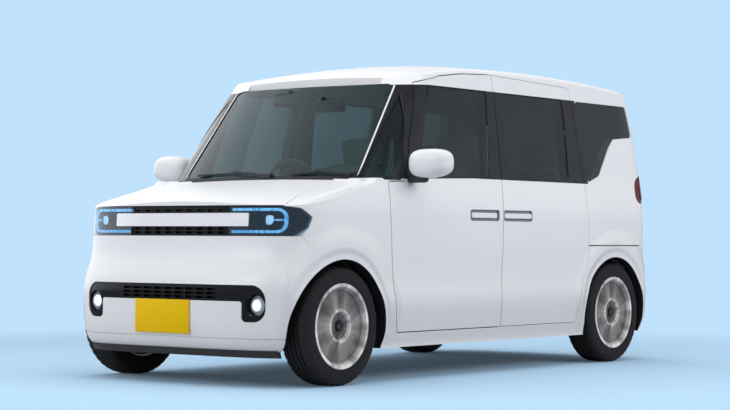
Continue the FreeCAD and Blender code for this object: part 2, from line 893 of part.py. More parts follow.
def floor_pan():
    half = sill_half - seat_gap
    floor = box(-half, half, bulkhead, rear_step, floor_bottom, floor_top)
    step = box(-half, half, rear_step - floor_thickness, rear_step, floor_bottom, rear_floor_top)
    boot_low = rear_floor_top - floor_thickness
    boot = box(-half, half, rear_step - floor_thickness, floor_rear, boot_low, rear_floor_top)
    wall_top = belt_height - bulkhead_drop
    wall = box(-bulkhead_half, bulkhead_half, bulkhead, bulkhead + floor_thickness, floor_bottom, wall_top)
    pan = fuse([floor, step, boot, wall])
    rear_room = arch(rear_axle, rear_well_depth, skin_thickness + seat_gap)
    return pan.cut([rear_room, mirrored(rear_room)]).removeSplitter()


# Battery, drive unit, suspension and axles under the floor.
battery_height = 76.0
battery_half = 430.0
battery_front_back = 602.0
battery_rear_ahead = 420.0
battery_rounding = 12.0
drive_half = 240.0
drive_depth = 190.0
drive_height = 370.0
drive_rounding = 30.0
drive_low = 0.75 * tyre_radius
spindle_radius = 20.0
spindle_reach = 35.0
running_gap = 0.05
beam_radius = 32.0
ball_radius = 14.0
kingpin_inset = 55.0
strut_inset = 135.0
kingpin_x = wheel_x - kingpin_inset


def wheel_housing(axle, depth):
    """Thin inner skin of one wheel opening, open at its foot and outside."""
    centre = tyre_radius - arch_drop
    start = half_width - depth
    end = half_width - side_wall - frame_depth - 2 * moving_gap
    skin = tube_x(arch_radius + skin_thickness, start - skin_thickness, end, axle, centre)
    hollow = tube_x(arch_radius, start, end + overrun, axle, centre)
    below = box(0, far, -far, far, -far, door_bottom - moving_gap + seat_gap)
    shaft_room = tube_x(spindle_radius + moving_gap, start - overrun, end, axle, tyre_radius)
    return skin.common(frame_out).cut([hollow, below, shaft_room])


def wheel_housings():
    front = wheel_housing(front_axle, front_well_depth)
    rear = wheel_housing(rear_axle, rear_well_depth)
    return Part.makeCompound([front, mirrored(front), rear, mirrored(rear)])


def battery_pack():
    top = floor_bottom - seat_gap
    start = front_axle + battery_front_back
    end = rear_axle - battery_rear_ahead
    pack = box(-battery_half, battery_half, start, end, top - battery_height, top)
    return pack.makeFillet(battery_rounding, pack.Edges)


def drive_unit():
    high = drive_low + drive_height
    unit = box(-drive_half, drive_half, front_axle - drive_depth, front_axle + drive_depth, drive_low, high)
    return unit.makeFillet(drive_rounding, unit.Edges)


# Front suspension: subframe with lower arms, and struts with the upper joints.
subframe_low = 0.62 * tyre_radius
rail_half = 330.0
rail_width = 80.0
rail_thickness = 60.0
cross_front = 60.0
cross_rear = 260.0
arm_inner_x = 300.0
arm_spread = 230.0
arm_radius = 16.0
arm_lift = 20.0
ball_drop = 12.0
ball_height = 34.0
strut_radius = 24.0
strut_rod_radius = 13.0
strut_seat_radius = 34.0
strut_seat_height = 11.8
strut_seat_gap = 2.2
strut_foot_rise = 100.0
upper_joint_rise = 92.0
strut_foot = tyre_radius + strut_foot_rise
upper_joint = tyre_radius + upper_joint_rise
upper_joint_height = 33.0
arch_top = tyre_radius - arch_drop + arch_radius


def front_subframe():
    low = subframe_low
    cross_start = front_axle - cross_front
    cross = box(-rail_half, rail_half, cross_start, front_axle + cross_rear, low, drive_low - seat_gap)
    rail_inner = rail_half - rail_width
    rail_front = front_axle - arm_inner_x
    rail = box(rail_inner, rail_half, rail_front, bulkhead - seat_gap, low, low + rail_thickness)
    pieces = [cross, rail, mirrored(rail)]
    struts = []
    for side in (1, -1):
        ball = Vector(side * kingpin_x, front_axle, low + arm_lift / 2)
        for y in (front_axle, front_axle + arm_spread):
            pieces.append(bar(Vector(side * arm_inner_x, y, low + arm_lift), ball, arm_radius))
        pieces.append(tube_z(ball_radius, side * kingpin_x, front_axle, low - ball_drop, low + ball_height))
        struts.append(strut(side))
    return Part.makeCompound([fuse(pieces)] + struts)


def strut(side):
    """Spring strut up to the wheel housing, with its arm to the top of the kingpin."""
    x = side * (wheel_x - strut_inset)
    seat_top = arch_top - strut_seat_gap
    arm_z = upper_joint + spindle_radius + fixed_gap
    pieces = [tube_z(strut_radius, x, front_axle, strut_foot, 1.75 * tyre_radius)]
    pieces.append(tube_z(strut_rod_radius, x, front_axle, strut_foot, seat_top))
    pieces.append(tube_z(strut_seat_radius, x, front_axle, seat_top - strut_seat_height, seat_top))
    joint = Vector(side * kingpin_x, front_axle, arm_z)
    pieces.append(bar(Vector(x, front_axle, arm_z), joint, strut_rod_radius))
    top = upper_joint + upper_joint_height
    pieces.append(tube_z(ball_radius, side * kingpin_x, front_axle, upper_joint, top))
    return fuse(pieces)


# Wheel carriers and rear axle.
post_inner = 24.0
post_outer = 18.0
post_half_depth = 28.0
trail_x = 470.0
trail_length = 380.0
trail_drop = 70.0
beam_half = 480.0
beam_ahead = 190.0
beam_drop = 20.0
trail_radius = 22.0


def left_knuckle():
    low = subframe_low + ball_height + seat_gap
    high = upper_joint - seat_gap
    y0 = front_axle - post_half_depth
    post = box(kingpin_x - post_inner, kingpin_x + post_outer, y0, front_axle + post_half_depth, low, high)
    spindle = tube_x(spindle_radius, kingpin_x, wheel_x + spindle_reach, front_axle, tyre_radius)
    return post.fuse(spindle).removeSplitter()


def rear_axle_beam():
    beam_y = rear_axle - beam_ahead
    beam_z = tyre_radius - beam_drop
    pieces = [tube_x(beam_radius, -beam_half, beam_half, beam_y, beam_z)]
    for side in (1, -1):
        pivot = Vector(side * trail_x, rear_axle - trail_length, tyre_radius - trail_drop)
        bend = Vector(side * trail_x, beam_y, beam_z)
        hub = Vector(side * beam_half, rear_axle, tyre_radius)
        tip = Vector(side * (wheel_x + spindle_reach), rear_axle, tyre_radius)
        pieces.append(bar(pivot, bend, trail_radius))
        pieces.append(bar(bend, hub, trail_radius))
        pieces.append(bar(hub, tip, spindle_radius))
    return fuse(pieces)


# Wheels. The disc's front face from lip to centre: depth share and radius share.
rim_radius = 190.0
rim_wall = 7.0
rim_inset = 10.0
disc_back = 38.0
hub_back = -10.0
hub_radius = 60.0
tyre_rounding = 10.0
disc_depth = 20.0
disc_face_shares = (
    (0.0, 1.0),
    (0.10, 0.984),
    (-0.05, 0.958),
    (-0.40, 0.937),
    (-0.70, 0.895),
    (-0.50, 0.632),
    (-0.40, 0.453),
    (-0.15, 0.411),
    (-0.15, 0.368),
    (-0.65, 0.337),
    (-0.85, 0.316),
    (-0.85, 0.242),
    (-0.70, 0.226),
    (-0.70, 0.168),
    (-0.90, 0.153),
    (-0.90, 0.126),
    (-0.55, 0.105),
    (-0.55, 0.0),
)


def ring(points, axle, side, radius=0.0):
    """Solid of revolution about the wheel's axle; each point is a place across and a radius."""
    face = Part.Face(outline([Vector(x, 0, r) for x, r in points], radius))
    solid = face.revolve(Vector(0, 0, 0), Vector(1, 0, 0), 360)
    if side < 0:
        solid = mirrored(solid)
    solid.translate(Vector(side * wheel_x, axle, tyre_radius))
    return solid


def tyre(axle, side):
    half = tyre_width / 2
    section = tyre_radius - rim_radius
    bead = rim_radius + seat_gap
    return ring((
        (-0.903 * half, bead),
        (-half, rim_radius + 0.385 * section),
        (-0.952 * half, rim_radius + 0.846 * section),
        (-0.733 * half, tyre_radius),
        (0.733 * half, tyre_radius),
        (0.952 * half, rim_radius + 0.846 * section),
        (half, rim_radius + 0.385 * section),
        (0.903 * half, bead),
    ), axle, side, tyre_rounding)


def rim(axle, side):
    bore = spindle_radius + running_gap
    half = tyre_width / 2
    lip = half - rim_inset
    barrel = rim_radius - rim_wall
    face = [(lip + depth * disc_depth, radius * rim_radius) for depth, radius in disc_face_shares]
    back = [
        (disc_back, 0.0),
        (disc_back, bore),
        (hub_back, bore),
        (hub_back, hub_radius),
        (disc_back, hub_radius + rim_inset),
        (disc_back, barrel - 2 * rim_inset),
        (disc_back + rim_wall, barrel),
        (rim_inset - half, barrel),
        (rim_inset - half, rim_radius),
    ]
    return ring(face + back, axle, side)


# Seats in side view: length shares of the cushion and height shares of the whole seat.
seat_width = 470.0
seat_x = 325.0
front_seat_y = -400.0
front_base_length = 440.0
rear_seat_y = 560.0
bench_half = 500.0
seat_length = 680.0
seat_height = 900.0
seat_lift = 0.35 * belt_height
seat_rounding = 45.0
headrest_half = 125.0
headrest_rounding = 35.0
base_inset = 50.0
base_front = 60.0
seat_side_shares = (
    (0.0, 0.0),
    (0.0, 0.211),
    (0.088, 0.261),
    (0.647, 0.239),
    (0.824, 0.844),
    (1.0, 0.844),
    (0.882, 0.200),
    (0.824, 0.0),
)
headrest_side_shares = (
    (0.835, 0.822),
    (0.853, 1.0),
    (1.0, 1.0),
    (0.988, 0.822),
)


def seat_view(front, rows):
    return [(front + along * seat_length, seat_lift + up * seat_height) for along, up in rows]


def seat_solid(x0, x1, front, base_length):
    """Seat with cushion, leaning back and headrest, on its base."""
    seat = side_prism(seat_view(front, seat_side_shares), x0, x1, seat_rounding)
    middle = (x0 + x1) / 2
    head_outline = seat_view(front, headrest_side_shares)
    head = side_prism(head_outline, middle - headrest_half, middle + headrest_half, headrest_rounding)
    start = front + base_front
    base_top = seat_lift + base_front
    base = box(x0 + base_inset, x1 - base_inset, start, start + base_length, floor_top + seat_gap, base_top)
    return fuse([seat, head, base])


def front_seats():
    return pair(seat_solid(seat_x - seat_width / 2, seat_x + seat_width / 2, front_seat_y, front_base_length))


def rear_seat():
    base_length = rear_step - floor_thickness - moving_gap - rear_seat_y - base_front
    return seat_solid(-bench_half, bench_half, rear_seat_y, base_length)


# Dashboard, steering column and steering wheel.
dash_rear = -590.0
dash_foot = 660.0
dash_half = 620.0
dash_rounding = 28.0
dash_depth = 302.0
column_tilt = 25.0
column_radius = 26.0
column_start = 40.0
column_end = 330.0
shaft_radius = 9.0
shaft_start = 8.0
steering_x = -340.0
steering_y = -330.0
steering_z = 955.0
steering_wheel_radius = 182.0
grip_radius = 15.0
wheel_hub_radius = 48.0
wheel_hub_height = 40.0
wheel_hub_back = 18.0
shaft_hole_depth = 30.0
spoke_half = 14.0
spoke_back = 9.0
spoke_face = 5.0


def dashboard():
    front = bulkhead + floor_thickness + seat_gap
    points = (
        (front, dash_foot),
        (front, 0.925 * belt_height),
        (front + 0.298 * dash_depth, 0.972 * belt_height),
        (dash_rear - 0.132 * dash_depth, 1.004 * belt_height),
        (dash_rear, 0.96 * belt_height),
        (dash_rear - 0.166 * dash_depth, 0.83 * belt_height),
        (dash_rear - 0.099 * dash_depth, 0.72 * belt_height),
        (dash_rear - 0.397 * dash_depth, dash_foot),
    )
    dash = side_prism(points, -dash_half, dash_half, dash_rounding)
    slope = math.radians(column_tilt)
    head = Vector(steering_x, steering_y, steering_z)
    along = Vector(0, -math.cos(slope), -math.sin(slope))
    column = bar(head + along * column_start, head + along * column_end, column_radius)
    shaft = bar(head + along * shaft_start, head + along * 1.5 * column_start, shaft_radius)
    return fuse([dash, column, shaft])


def steering_wheel():
    up = Vector(0, 0, 1)
    mean = steering_wheel_radius - grip_radius
    grip = Part.makeTorus(mean, grip_radius, Vector(0, 0, 0), up)
    hub = Part.makeCylinder(wheel_hub_radius, wheel_hub_height, Vector(0, 0, -wheel_hub_back), up)
    bore_radius = shaft_radius + running_gap
    bore = Part.makeCylinder(bore_radius, shaft_hole_depth, Vector(0, 0, -shaft_hole_depth), up)
    across = box(-mean, mean, -wheel_hub_back, spoke_half, -spoke_back, spoke_face)
    down = box(-spoke_half, spoke_half, -mean, 0, -spoke_back, spoke_face)
    wheel = fuse([grip, hub, across, down]).cut(bore)
    wheel.rotate(Vector(0, 0, 0), Vector(1, 0, 0), column_tilt - 90)
    wheel.translate(Vector(steering_x, steering_y, steering_z))
    return wheel


# Mirrors in front view: width shares and height shares of the housing.
mirror_y = -752.0
mirror_z = 1062.0
mirror_width = 232.0
mirror_height = 134.0
mirror_front = 70.0
mirror_rear = 52.0
mirror_corner = 30.0
mirror_rounding = 26.0
mirror_foot_front = 8.0
mirror_foot_rear = 48.0
mirror_shares = (
    (0.147, -0.433),
    (0.905, -0.463),
    (1.0, 0.119),
    (0.897, 0.537),
    (0.224, 0.493),
    (0.121, 0.030),
)
mirror_foot_shares = (
    (-0.172, -0.582),
    (0.302, -0.448),
    (0.302, -0.254),
    (-0.172, -0.224),
)


def mirror_view(rows):
    return [(half_width + out * mirror_width, mirror_z + up * mirror_height) for out, up in rows]


def left_mirror():
    front = mirror_y - mirror_front
    housing = front_prism(mirror_view(mirror_shares), front, mirror_y + mirror_rear, mirror_corner)
    front_rim = [edge for edge in housing.Edges if edge.BoundBox.YMax < front + seat_gap]
    housing = housing.makeFillet(mirror_rounding, front_rim)
    foot_outline = mirror_view(mirror_foot_shares)
    foot = front_prism(foot_outline, mirror_y - mirror_foot_front, mirror_y + mirror_foot_rear)
    return fuse([housing, foot]).cut(outer)


# Wipers, parked at the foot of the screen: places across of foot, hook and blade tip.
wiper_places = (
    (57.0, -200.0, -456.0),
    (530.0, 330.0, 181.0),
)
wiper_low = 1006.0
wiper_lift = 12.0
wiper_spindle_radius = 9.0
wiper_arm_radius = 6.0
wiper_blade_radius = 5.0
blade_lift = 8.0
blade_rise = 8.0
hook_rise = 22.0


def screen_point(x, z, lift):
    """Place in front of the screen's outer surface."""
    above = (z / body_height - screen_foot_share) / screen_rise_share
    front = (screen_foot_y_share + above * screen_run_share) * half_length
    side_share = abs(x) / (0.98 * half_width)
    corner_share = 1 - (1 - side_share ** screen_corner_power) ** (1 / screen_corner_power)
    setback = screen_corner_depth * corner_share
    return Vector(x, front + setback - lift, z)


def wipers():
    """Two wipers, each with its spindle, arm and blade."""
    arms = []
    for foot, middle, tip in wiper_places:
        spindle = screen_point(foot, wiper_low, wiper_lift)
        hook = screen_point(middle, wiper_low + hook_rise, wiper_lift)
        base = screen_point(foot, wiper_low, -blade_lift)
        knob = spindle - Vector(0, wiper_spindle_radius, 0)
        blade = hook - Vector(0, 0, wiper_arm_radius)
        blade_z = wiper_low + blade_rise
        pieces = [bar(base, knob, wiper_spindle_radius), bar(spindle, hook, wiper_arm_radius)]
        pieces.append(bar(screen_point(tip, blade_z, blade_lift), blade, wiper_blade_radius))
        rest = screen_point(0.8 * foot + 0.2 * tip, blade_z, blade_lift)
        pieces.append(bar(blade, rest, wiper_blade_radius))
        arms.append(fuse(pieces).cut(outer))
    return Part.makeCompound(arms)


def side_panes():
    """Fixed side panes, on both sides."""
    pieces = []
    for points, start, rounding in (
        (slide_glass_side, x_in, window_rounding),
        (quarter_glass_side, x_in, window_rounding),
        (small_glass_side, small_glass_in, small_rounding),
    ):
        pane = window_pane(side_prism(points, start, x_out, rounding))
        pieces += [pane, mirrored(pane)]
    return Part.makeCompound(pieces)


def save(name, shape):
    shape.exportStep(os.path.join(PARTS, name + ".step"))


def save_pair(name, shape):
    save(name + "_left", shape)
    save(name + "_right", mirrored(shape))


save_pair("body_side", left_side())
save("pillar_hoops", pillar_hoops())
save("roof_panel", roof_panel())
save("cowl", cowl())
save("floor_pan", floor_pan())
save("fenders", pair(left_fender()))
save("front_bumper", front_bumper())
save("rear_bumper", rear_bumper())
save("grilles", Part.makeCompound([upper_grille(), lower_grille()]))
save("nose_bar", nose_bar())
save("light_guides", pair(left_light_guide()))
save("lamp_lenses", lamp_lenses())
save("headlamps", pair(left_lamp_cover()))
save("tail_lamps", pair(left_tail_lamp()))
save("bonnet", bonnet())
save("tailgate", tailgate())
save_pair("door", left_door())
save("slide_doors", pair(left_slide_door()))
save("windscreen", window_pane(screen_cut))
save("tailgate_glass", window_pane(rear_glass_cut))
save_pair("door_glass", window_pane(side_prism(front_glass_side, x_in, x_out, window_rounding)))
save("side_glass", side_panes())
save_pair("mirror", left_mirror())
save("wipers", wipers())
save("wheel_housings", wheel_housings())
save("battery_pack", battery_pack())
save("drive_unit", drive_unit())
save("front_subframe", front_subframe())
save("rear_axle", rear_axle_beam())
save_pair("knuckle", left_knuckle())
save("front_seats", front_seats())
save("rear_seat", rear_seat())
save("dashboard", dashboard())
save("steering_wheel", steering_wheel())
for end, axle in (("front", front_axle), ("rear", rear_axle)):
    for hand, side in (("left", 1), ("right", -1)):
        save("tyre_%s_%s" % (end, hand), tyre(axle, side))
        save("rim_%s_%s" % (end, hand), rim(axle, side))
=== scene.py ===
import json
import math

import bmesh
import bpy
from mathutils import Matrix, Vector
from mathutils.bvhtree import BVHTree


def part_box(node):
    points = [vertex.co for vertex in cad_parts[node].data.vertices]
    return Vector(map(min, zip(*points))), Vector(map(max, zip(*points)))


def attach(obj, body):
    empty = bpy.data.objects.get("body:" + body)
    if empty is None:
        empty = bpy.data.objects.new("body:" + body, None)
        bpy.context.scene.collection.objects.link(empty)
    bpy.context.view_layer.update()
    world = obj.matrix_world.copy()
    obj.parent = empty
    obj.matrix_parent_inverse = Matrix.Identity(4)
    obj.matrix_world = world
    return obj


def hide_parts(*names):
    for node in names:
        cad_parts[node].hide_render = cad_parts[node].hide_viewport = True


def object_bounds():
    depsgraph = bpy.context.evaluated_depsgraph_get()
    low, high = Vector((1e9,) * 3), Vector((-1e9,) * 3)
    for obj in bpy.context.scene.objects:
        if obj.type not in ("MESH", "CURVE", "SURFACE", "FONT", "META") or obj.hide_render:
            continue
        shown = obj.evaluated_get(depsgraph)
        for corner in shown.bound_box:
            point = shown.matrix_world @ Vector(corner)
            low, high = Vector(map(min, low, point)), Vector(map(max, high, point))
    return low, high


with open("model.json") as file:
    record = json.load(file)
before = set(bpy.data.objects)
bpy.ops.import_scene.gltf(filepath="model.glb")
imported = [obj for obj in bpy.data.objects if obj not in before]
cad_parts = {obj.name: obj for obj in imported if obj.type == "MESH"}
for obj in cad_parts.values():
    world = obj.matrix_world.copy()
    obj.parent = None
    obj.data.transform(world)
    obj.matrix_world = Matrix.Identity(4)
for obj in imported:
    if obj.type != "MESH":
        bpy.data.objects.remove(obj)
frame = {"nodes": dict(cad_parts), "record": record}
nodes = frame["nodes"]
cadLow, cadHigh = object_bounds()
print("frame loaded:", len(nodes), "nodes")

scene = bpy.context.scene
scene.view_settings.view_transform = "Standard"

# Camera, fitted to the photograph.
cameraFit = {
    "place": (6.423, -8.512, 0.693),
    "yaw": 37.596,
    "pitch": -0.98,
    "roll": 0.295,
    "lens": 96.85,
    "sensor": 36.0,
}


def addCamera():
    data = bpy.data.cameras.new("camera")
    data.lens = cameraFit["lens"]
    data.sensor_width = cameraFit["sensor"]
    data.clip_end = 200.0
    camera = bpy.data.objects.new("camera", data)
    yaw, pitch, roll = (math.radians(cameraFit[key]) for key in ("yaw", "pitch", "roll"))
    forward = Vector((-math.sin(yaw) * math.cos(pitch), math.cos(yaw) * math.cos(pitch), -math.sin(pitch)))
    flatRight = Vector((math.cos(yaw), math.sin(yaw), 0.0))
    flatUp = flatRight.cross(forward)
    right = flatRight * math.cos(roll) + flatUp * math.sin(roll)
    up = flatUp * math.cos(roll) - flatRight * math.sin(roll)
    turn = Matrix((right, up, -forward)).transposed()
    camera.matrix_world = Matrix.Translation(cameraFit["place"]) @ turn.to_4x4()
    scene.collection.objects.link(camera)
    scene.camera = camera


# Backdrop, floor and lamps. A lamp has its place, target, width, height, power and whether it is mirrored.
studio = {
    "blue": (0.527, 0.761, 0.982),
    "floorHalf": 40.0,
    "fadeStart": 2.6,
    "fadeEnd": 5.0,
    "floorShare": 0.86,
    "floorRoughness": 0.9,
    "ownGlow": 0.06,
    "bounceTone": (0.42, 0.45, 0.50),
    "skyTone": (0.96, 0.98, 1.0),
    "skyLight": 0.42,
    "wallLight": 1.75,
    "wallReach": (-0.88, -0.52),
    "overheadReach": (0.68, 0.86),
    "overheadShare": 0.25,
    "lamps": (
        ("topLamp", (0.0, -0.2, 4.6), (0.0, 0.0, 0.0), 7.0, 8.0, 258.0, False),
        ("frontLamp", (-2.5, -8.5, 3.8), (0.0, -1.2, 0.7), 5.0, 3.0, 160.0, True),
        ("sideLamp", (7.5, 1.0, 3.6), (0.6, 0.0, 1.0), 7.0, 2.6, 238.0, False),
    ),
}


def addNode(tree, kind, values=None, **settings):
    node = tree.nodes.new(kind)
    for name, value in settings.items():
        setattr(node, name, value)
    for name, value in (values or {}).items():
        node.inputs[name].default_value = value
    return node


def calc(tree, operation, *values):
    """Math node on sockets or numbers; gives its output socket."""
    node = tree.nodes.new("ShaderNodeMath")
    node.operation = operation
    for index, value in enumerate(values):
        if isinstance(value, (int, float)):
            node.inputs[index].default_value = value
        else:
            tree.links.new(value, node.inputs[index])
    return node.outputs[0]


def ramped(tree, value, low, high, start=0.0, end=1.0, smooth=True):
    """Value carried from one range to another."""
    node = tree.nodes.new("ShaderNodeMapRange")
    node.interpolation_type = "SMOOTHSTEP" if smooth else "LINEAR"
    for name, number in (("From Min", low), ("From Max", high), ("To Min", start), ("To Max", end)):
        node.inputs[name].default_value = number
    tree.links.new(value, node.inputs["Value"])
    return node.outputs["Result"]


def placeAxes(tree, source="Object"):
    """Coordinates as three sockets."""
    place = tree.nodes.new("ShaderNodeTexCoord")
    split = tree.nodes.new("ShaderNodeSeparateXYZ")
    tree.links.new(place.outputs[source], split.inputs[0])
    return split.outputs["X"], split.outputs["Y"], split.outputs["Z"]


def newMaterial(name, **sockets):
    """Material with values for its shader's sockets, whose names have _ for a blank."""
    material = bpy.data.materials.new(name)
    material.use_nodes = True
    tree = material.node_tree
    shader = tree.nodes["Principled BSDF"]
    for key, value in sockets.items():
        shader.inputs[key.replace("_", " ")].default_value = value
    return material, tree, shader


def mixShaders(tree, share, first, second):
    mix = addNode(tree, "ShaderNodeMixShader")
    if isinstance(share, float):
        mix.inputs["Fac"].default_value = share
    else:
        tree.links.new(share, mix.inputs["Fac"])
    tree.links.new(first, mix.inputs[1])
    tree.links.new(second, mix.inputs[2])
    return mix.outputs[0]


def backdropSplit(tree, seen, lit, output):
    """Shows one shader to the camera, also through glass, and lights the car with the other."""
    path = addNode(tree, "ShaderNodeLightPath")
    direct = calc(tree, "MAXIMUM", path.outputs["Is Camera Ray"], path.outputs["Is Transmission Ray"])
    tree.links.new(mixShaders(tree, direct, lit, seen), output)


def addWorld():
    world = bpy.data.worlds.new("studio")
    world.use_nodes = True
    scene.world = world
    tree = world.node_tree
    tree.nodes.clear()
    seen = addNode(tree, "ShaderNodeBackground", {"Color": (*studio["blue"], 1.0), "Strength": 1.0})
    lit = addNode(tree, "ShaderNodeBackground", {"Color": (*studio["skyTone"], 1.0)})
    across, along, up = placeAxes(tree, "Generated")
    wall = ramped(tree, across, *studio["wallReach"], studio["wallLight"], studio["skyLight"])
    overhead = ramped(tree, up, *studio["overheadReach"], 1.0, studio["overheadShare"])
    tree.links.new(calc(tree, "MULTIPLY", wall, overhead), lit.inputs["Strength"])
    output = addNode(tree, "ShaderNodeOutputWorld")
    backdropSplit(tree, seen.outputs[0], lit.outputs[0], output.inputs["Surface"])


def addFloor():
    bm = bmesh.new()
    bmesh.ops.create_grid(bm, x_segments=1, y_segments=1, size=studio["floorHalf"])
    mesh = bpy.data.meshes.new("floor")
    bm.to_mesh(mesh)
    bm.free()
    floor = bpy.data.objects.new("floor", mesh)
    scene.collection.objects.link(floor)
    lit = [studio["floorShare"] * tone for tone in studio["blue"]]
    matt = {"Roughness": studio["floorRoughness"], "Specular_IOR_Level": 0.0}
    material, tree, shader = newMaterial("floorBlue", Base_Color=(*lit, 1.0), **matt)
    glow = addNode(tree, "ShaderNodeEmission", {"Color": (*studio["blue"], 1.0), "Strength": 1.0})
    place = addNode(tree, "ShaderNodeTexCoord")
    length = addNode(tree, "ShaderNodeVectorMath", operation="LENGTH")
    tree.links.new(place.outputs["Object"], length.inputs[0])
    fade = ramped(tree, length.outputs["Value"], studio["fadeStart"], studio["fadeEnd"])
    near = mixShaders(tree, studio["ownGlow"], shader.outputs[0], glow.outputs[0])
    seen = mixShaders(tree, fade, near, glow.outputs[0])
    bounce = addNode(tree, "ShaderNodeBsdfDiffuse", {"Color": (*studio["bounceTone"], 1.0)})
    backdropSplit(tree, seen, bounce.outputs[0], tree.nodes["Material Output"].inputs["Surface"])
    mesh.materials.append(material)


def addLamps():
    for name, place, target, width, height, power, mirrored in studio["lamps"]:
        data = bpy.data.lights.new(name, "AREA")
        data.shape = "RECTANGLE"
        data.size = width
        data.size_y = height
        data.energy = power
        lamp = bpy.data.objects.new(name, data)
        lamp.location = place
        lamp.visible_glossy = mirrored
        lamp.rotation_euler = (Vector(target) - Vector(place)).to_track_quat("-Z", "Y").to_euler()
        scene.collection.objects.link(lamp)


addCamera()
addWorld()
addFloor()
addLamps()
print("studio made")


# Shared effects.
def newGroup(name, inputs, outputs):
    tree = bpy.data.node_groups.new(name, "ShaderNodeTree")
    for label, kind, value in inputs:
        socket = tree.interface.new_socket(label, in_out="INPUT", socket_type=kind)
        socket.default_value = value
    for label, kind in outputs:
        tree.interface.new_socket(label, in_out="OUTPUT", socket_type=kind)
    return tree, tree.nodes.new("NodeGroupInput"), tree.nodes.new("NodeGroupOutput")


def cloudOf(tree, scale, detail, roughness):
    """Noise on the piece's own coordinates."""
    place = addNode(tree, "ShaderNodeTexCoord")
    noise = addNode(tree, "ShaderNodeTexNoise", {"Detail": detail, "Roughness": roughness})
    tree.links.new(place.outputs["Object"], noise.inputs["Vector"])
    tree.links.new(scale, noise.inputs["Scale"])
    return noise.outputs["Fac"]


def scaledTone(tree, tone, level):
    scaled = addNode(tree, "ShaderNodeVectorMath", operation="SCALE")
    tree.links.new(tone, scaled.inputs[0])
    tree.links.new(level, scaled.inputs["Scale"])
    return scaled.outputs[0]


def makeToneShift():
    """A colour that drifts a little over the surface."""
    grey = (0.5, 0.5, 0.5, 1.0)
    values = (("Scale", "NodeSocketFloat", 5.0), ("Amount", "NodeSocketFloat", 0.05))
    inputs = (("Tone", "NodeSocketColor", grey), *values)
    tree, start, end = newGroup("toneShift", inputs, (("Color", "NodeSocketColor"),))
    cloud = cloudOf(tree, start.outputs["Scale"], detail=4.0, roughness=0.55)
    drift = calc(tree, "MULTIPLY", calc(tree, "SUBTRACT", cloud, 0.5), start.outputs["Amount"])
    tone = scaledTone(tree, start.outputs["Tone"], calc(tree, "ADD", drift, 1.0))
    tree.links.new(tone, end.inputs["Color"])
    return tree


def makeFineGrain():
    """Height of a fine grain, for bump."""
    inputs = (("Scale", "NodeSocketFloat", 300.0), ("Depth", "NodeSocketFloat", 0.2))
    tree, start, end = newGroup("fineGrain", inputs, (("Height", "NodeSocketFloat"),))
    cloud = cloudOf(tree, start.outputs["Scale"], detail=3.0, roughness=0.6)
    tree.links.new(calc(tree, "MULTIPLY", cloud, start.outputs["Depth"]), end.inputs["Height"])
    return tree


def newMask(name, *outputs):
    """Group that reads only the piece's own coordinates, with them as sockets."""
    tree, start, end = newGroup(name, (), [(label, "NodeSocketFloat") for label in outputs])
    tree.nodes.remove(start)
    return tree, end, placeAxes(tree)


def between(tree, value, low, high):
    above = calc(tree, "GREATER_THAN", value, low)
    return calc(tree, "MULTIPLY", above, calc(tree, "LESS_THAN", value, high))


# Black window band on the white body: its heights, and the line behind the quarter glass.
glasshouse = {
    "low": 1.004,
    "lowAtScreen": 0.986,
    "screenEnd": -0.700,
    "doorStart": -0.620,
    "high": 1.468,
    "rear": 0.934,
    "rearLean": 0.1135,
}


def makeGlasshouseMask():
    tree, end, (across, along, up) = newMask("glasshouseMask", "Mask")
    shape = glasshouse
    lows = (shape["lowAtScreen"], shape["low"])
    low = ramped(tree, along, shape["screenEnd"], shape["doorStart"], *lows, smooth=False)
    band = between(tree, up, low, shape["high"])
    lean = calc(tree, "MULTIPLY", calc(tree, "SUBTRACT", up, shape["low"]), shape["rearLean"])
    ahead = calc(tree, "LESS_THAN", along, calc(tree, "SUBTRACT", shape["rear"], lean))
    tree.links.new(calc(tree, "MULTIPLY", band, ahead), end.inputs["Mask"])
    return tree


def middleOf(node):
    low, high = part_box(node)
    return [(low[i] + high[i]) / 2.0 for i in range(3)]


# Places of the axles, and the radius by which the rings of the wheels are measured.
wheelCentres = {
    "front": middleOf("rim_front_left")[1],
    "rear": middleOf("rim_rear_left")[1],
    "height": middleOf("rim_front_left")[2],
    "rim": 0.19,
}


def fromAxle(tree, along, up, height):
    """Distances behind and above the nearer axle, and the distance from it."""
    rearHalf = calc(tree, "GREATER_THAN", along, 0.0)
    axle = ramped(tree, rearHalf, 0.0, 1.0, wheelCentres["front"], wheelCentres["rear"], smooth=False)
    behind = calc(tree, "SUBTRACT", along, axle)
    above = calc(tree, "SUBTRACT", up, height)
    squares = [calc(tree, "MULTIPLY", value, value) for value in (behind, above)]
    return behind, above, calc(tree, "SQRT", calc(tree, "ADD", *squares))


def makeWheelPlace():
    """Distance from the nearer axle as a share of the rim's radius, and the angle round it."""
    tree, end, (across, along, up) = newMask("wheelPlace", "Radius", "Angle")
    behind, above, reach = fromAxle(tree, along, up, wheelCentres["height"])
    tree.links.new(calc(tree, "DIVIDE", reach, wheelCentres["rim"]), end.inputs["Radius"])
    tree.links.new(calc(tree, "ARCTAN2", above, behind), end.inputs["Angle"])
    return tree


# Inner edge of the wheel openings, black within.
archEdge = {"height": 0.266, "radius": 0.3292}


def makeArchMask():
    tree, end, (across, along, up) = newMask("archMask", "Mask")
    reach = fromAxle(tree, along, up, archEdge["height"])[2]
    tree.links.new(calc(tree, "LESS_THAN", reach, archEdge["radius"]), end.inputs["Mask"])
    return tree


# Floor of the recess round the door handles, and the painted shade that darkens it.
handleRecessShade = {"depth": 0.0075, "along": (-0.250, 0.350), "up": (0.787, 0.845), "tone": (0.26, 0.27, 0.32)}
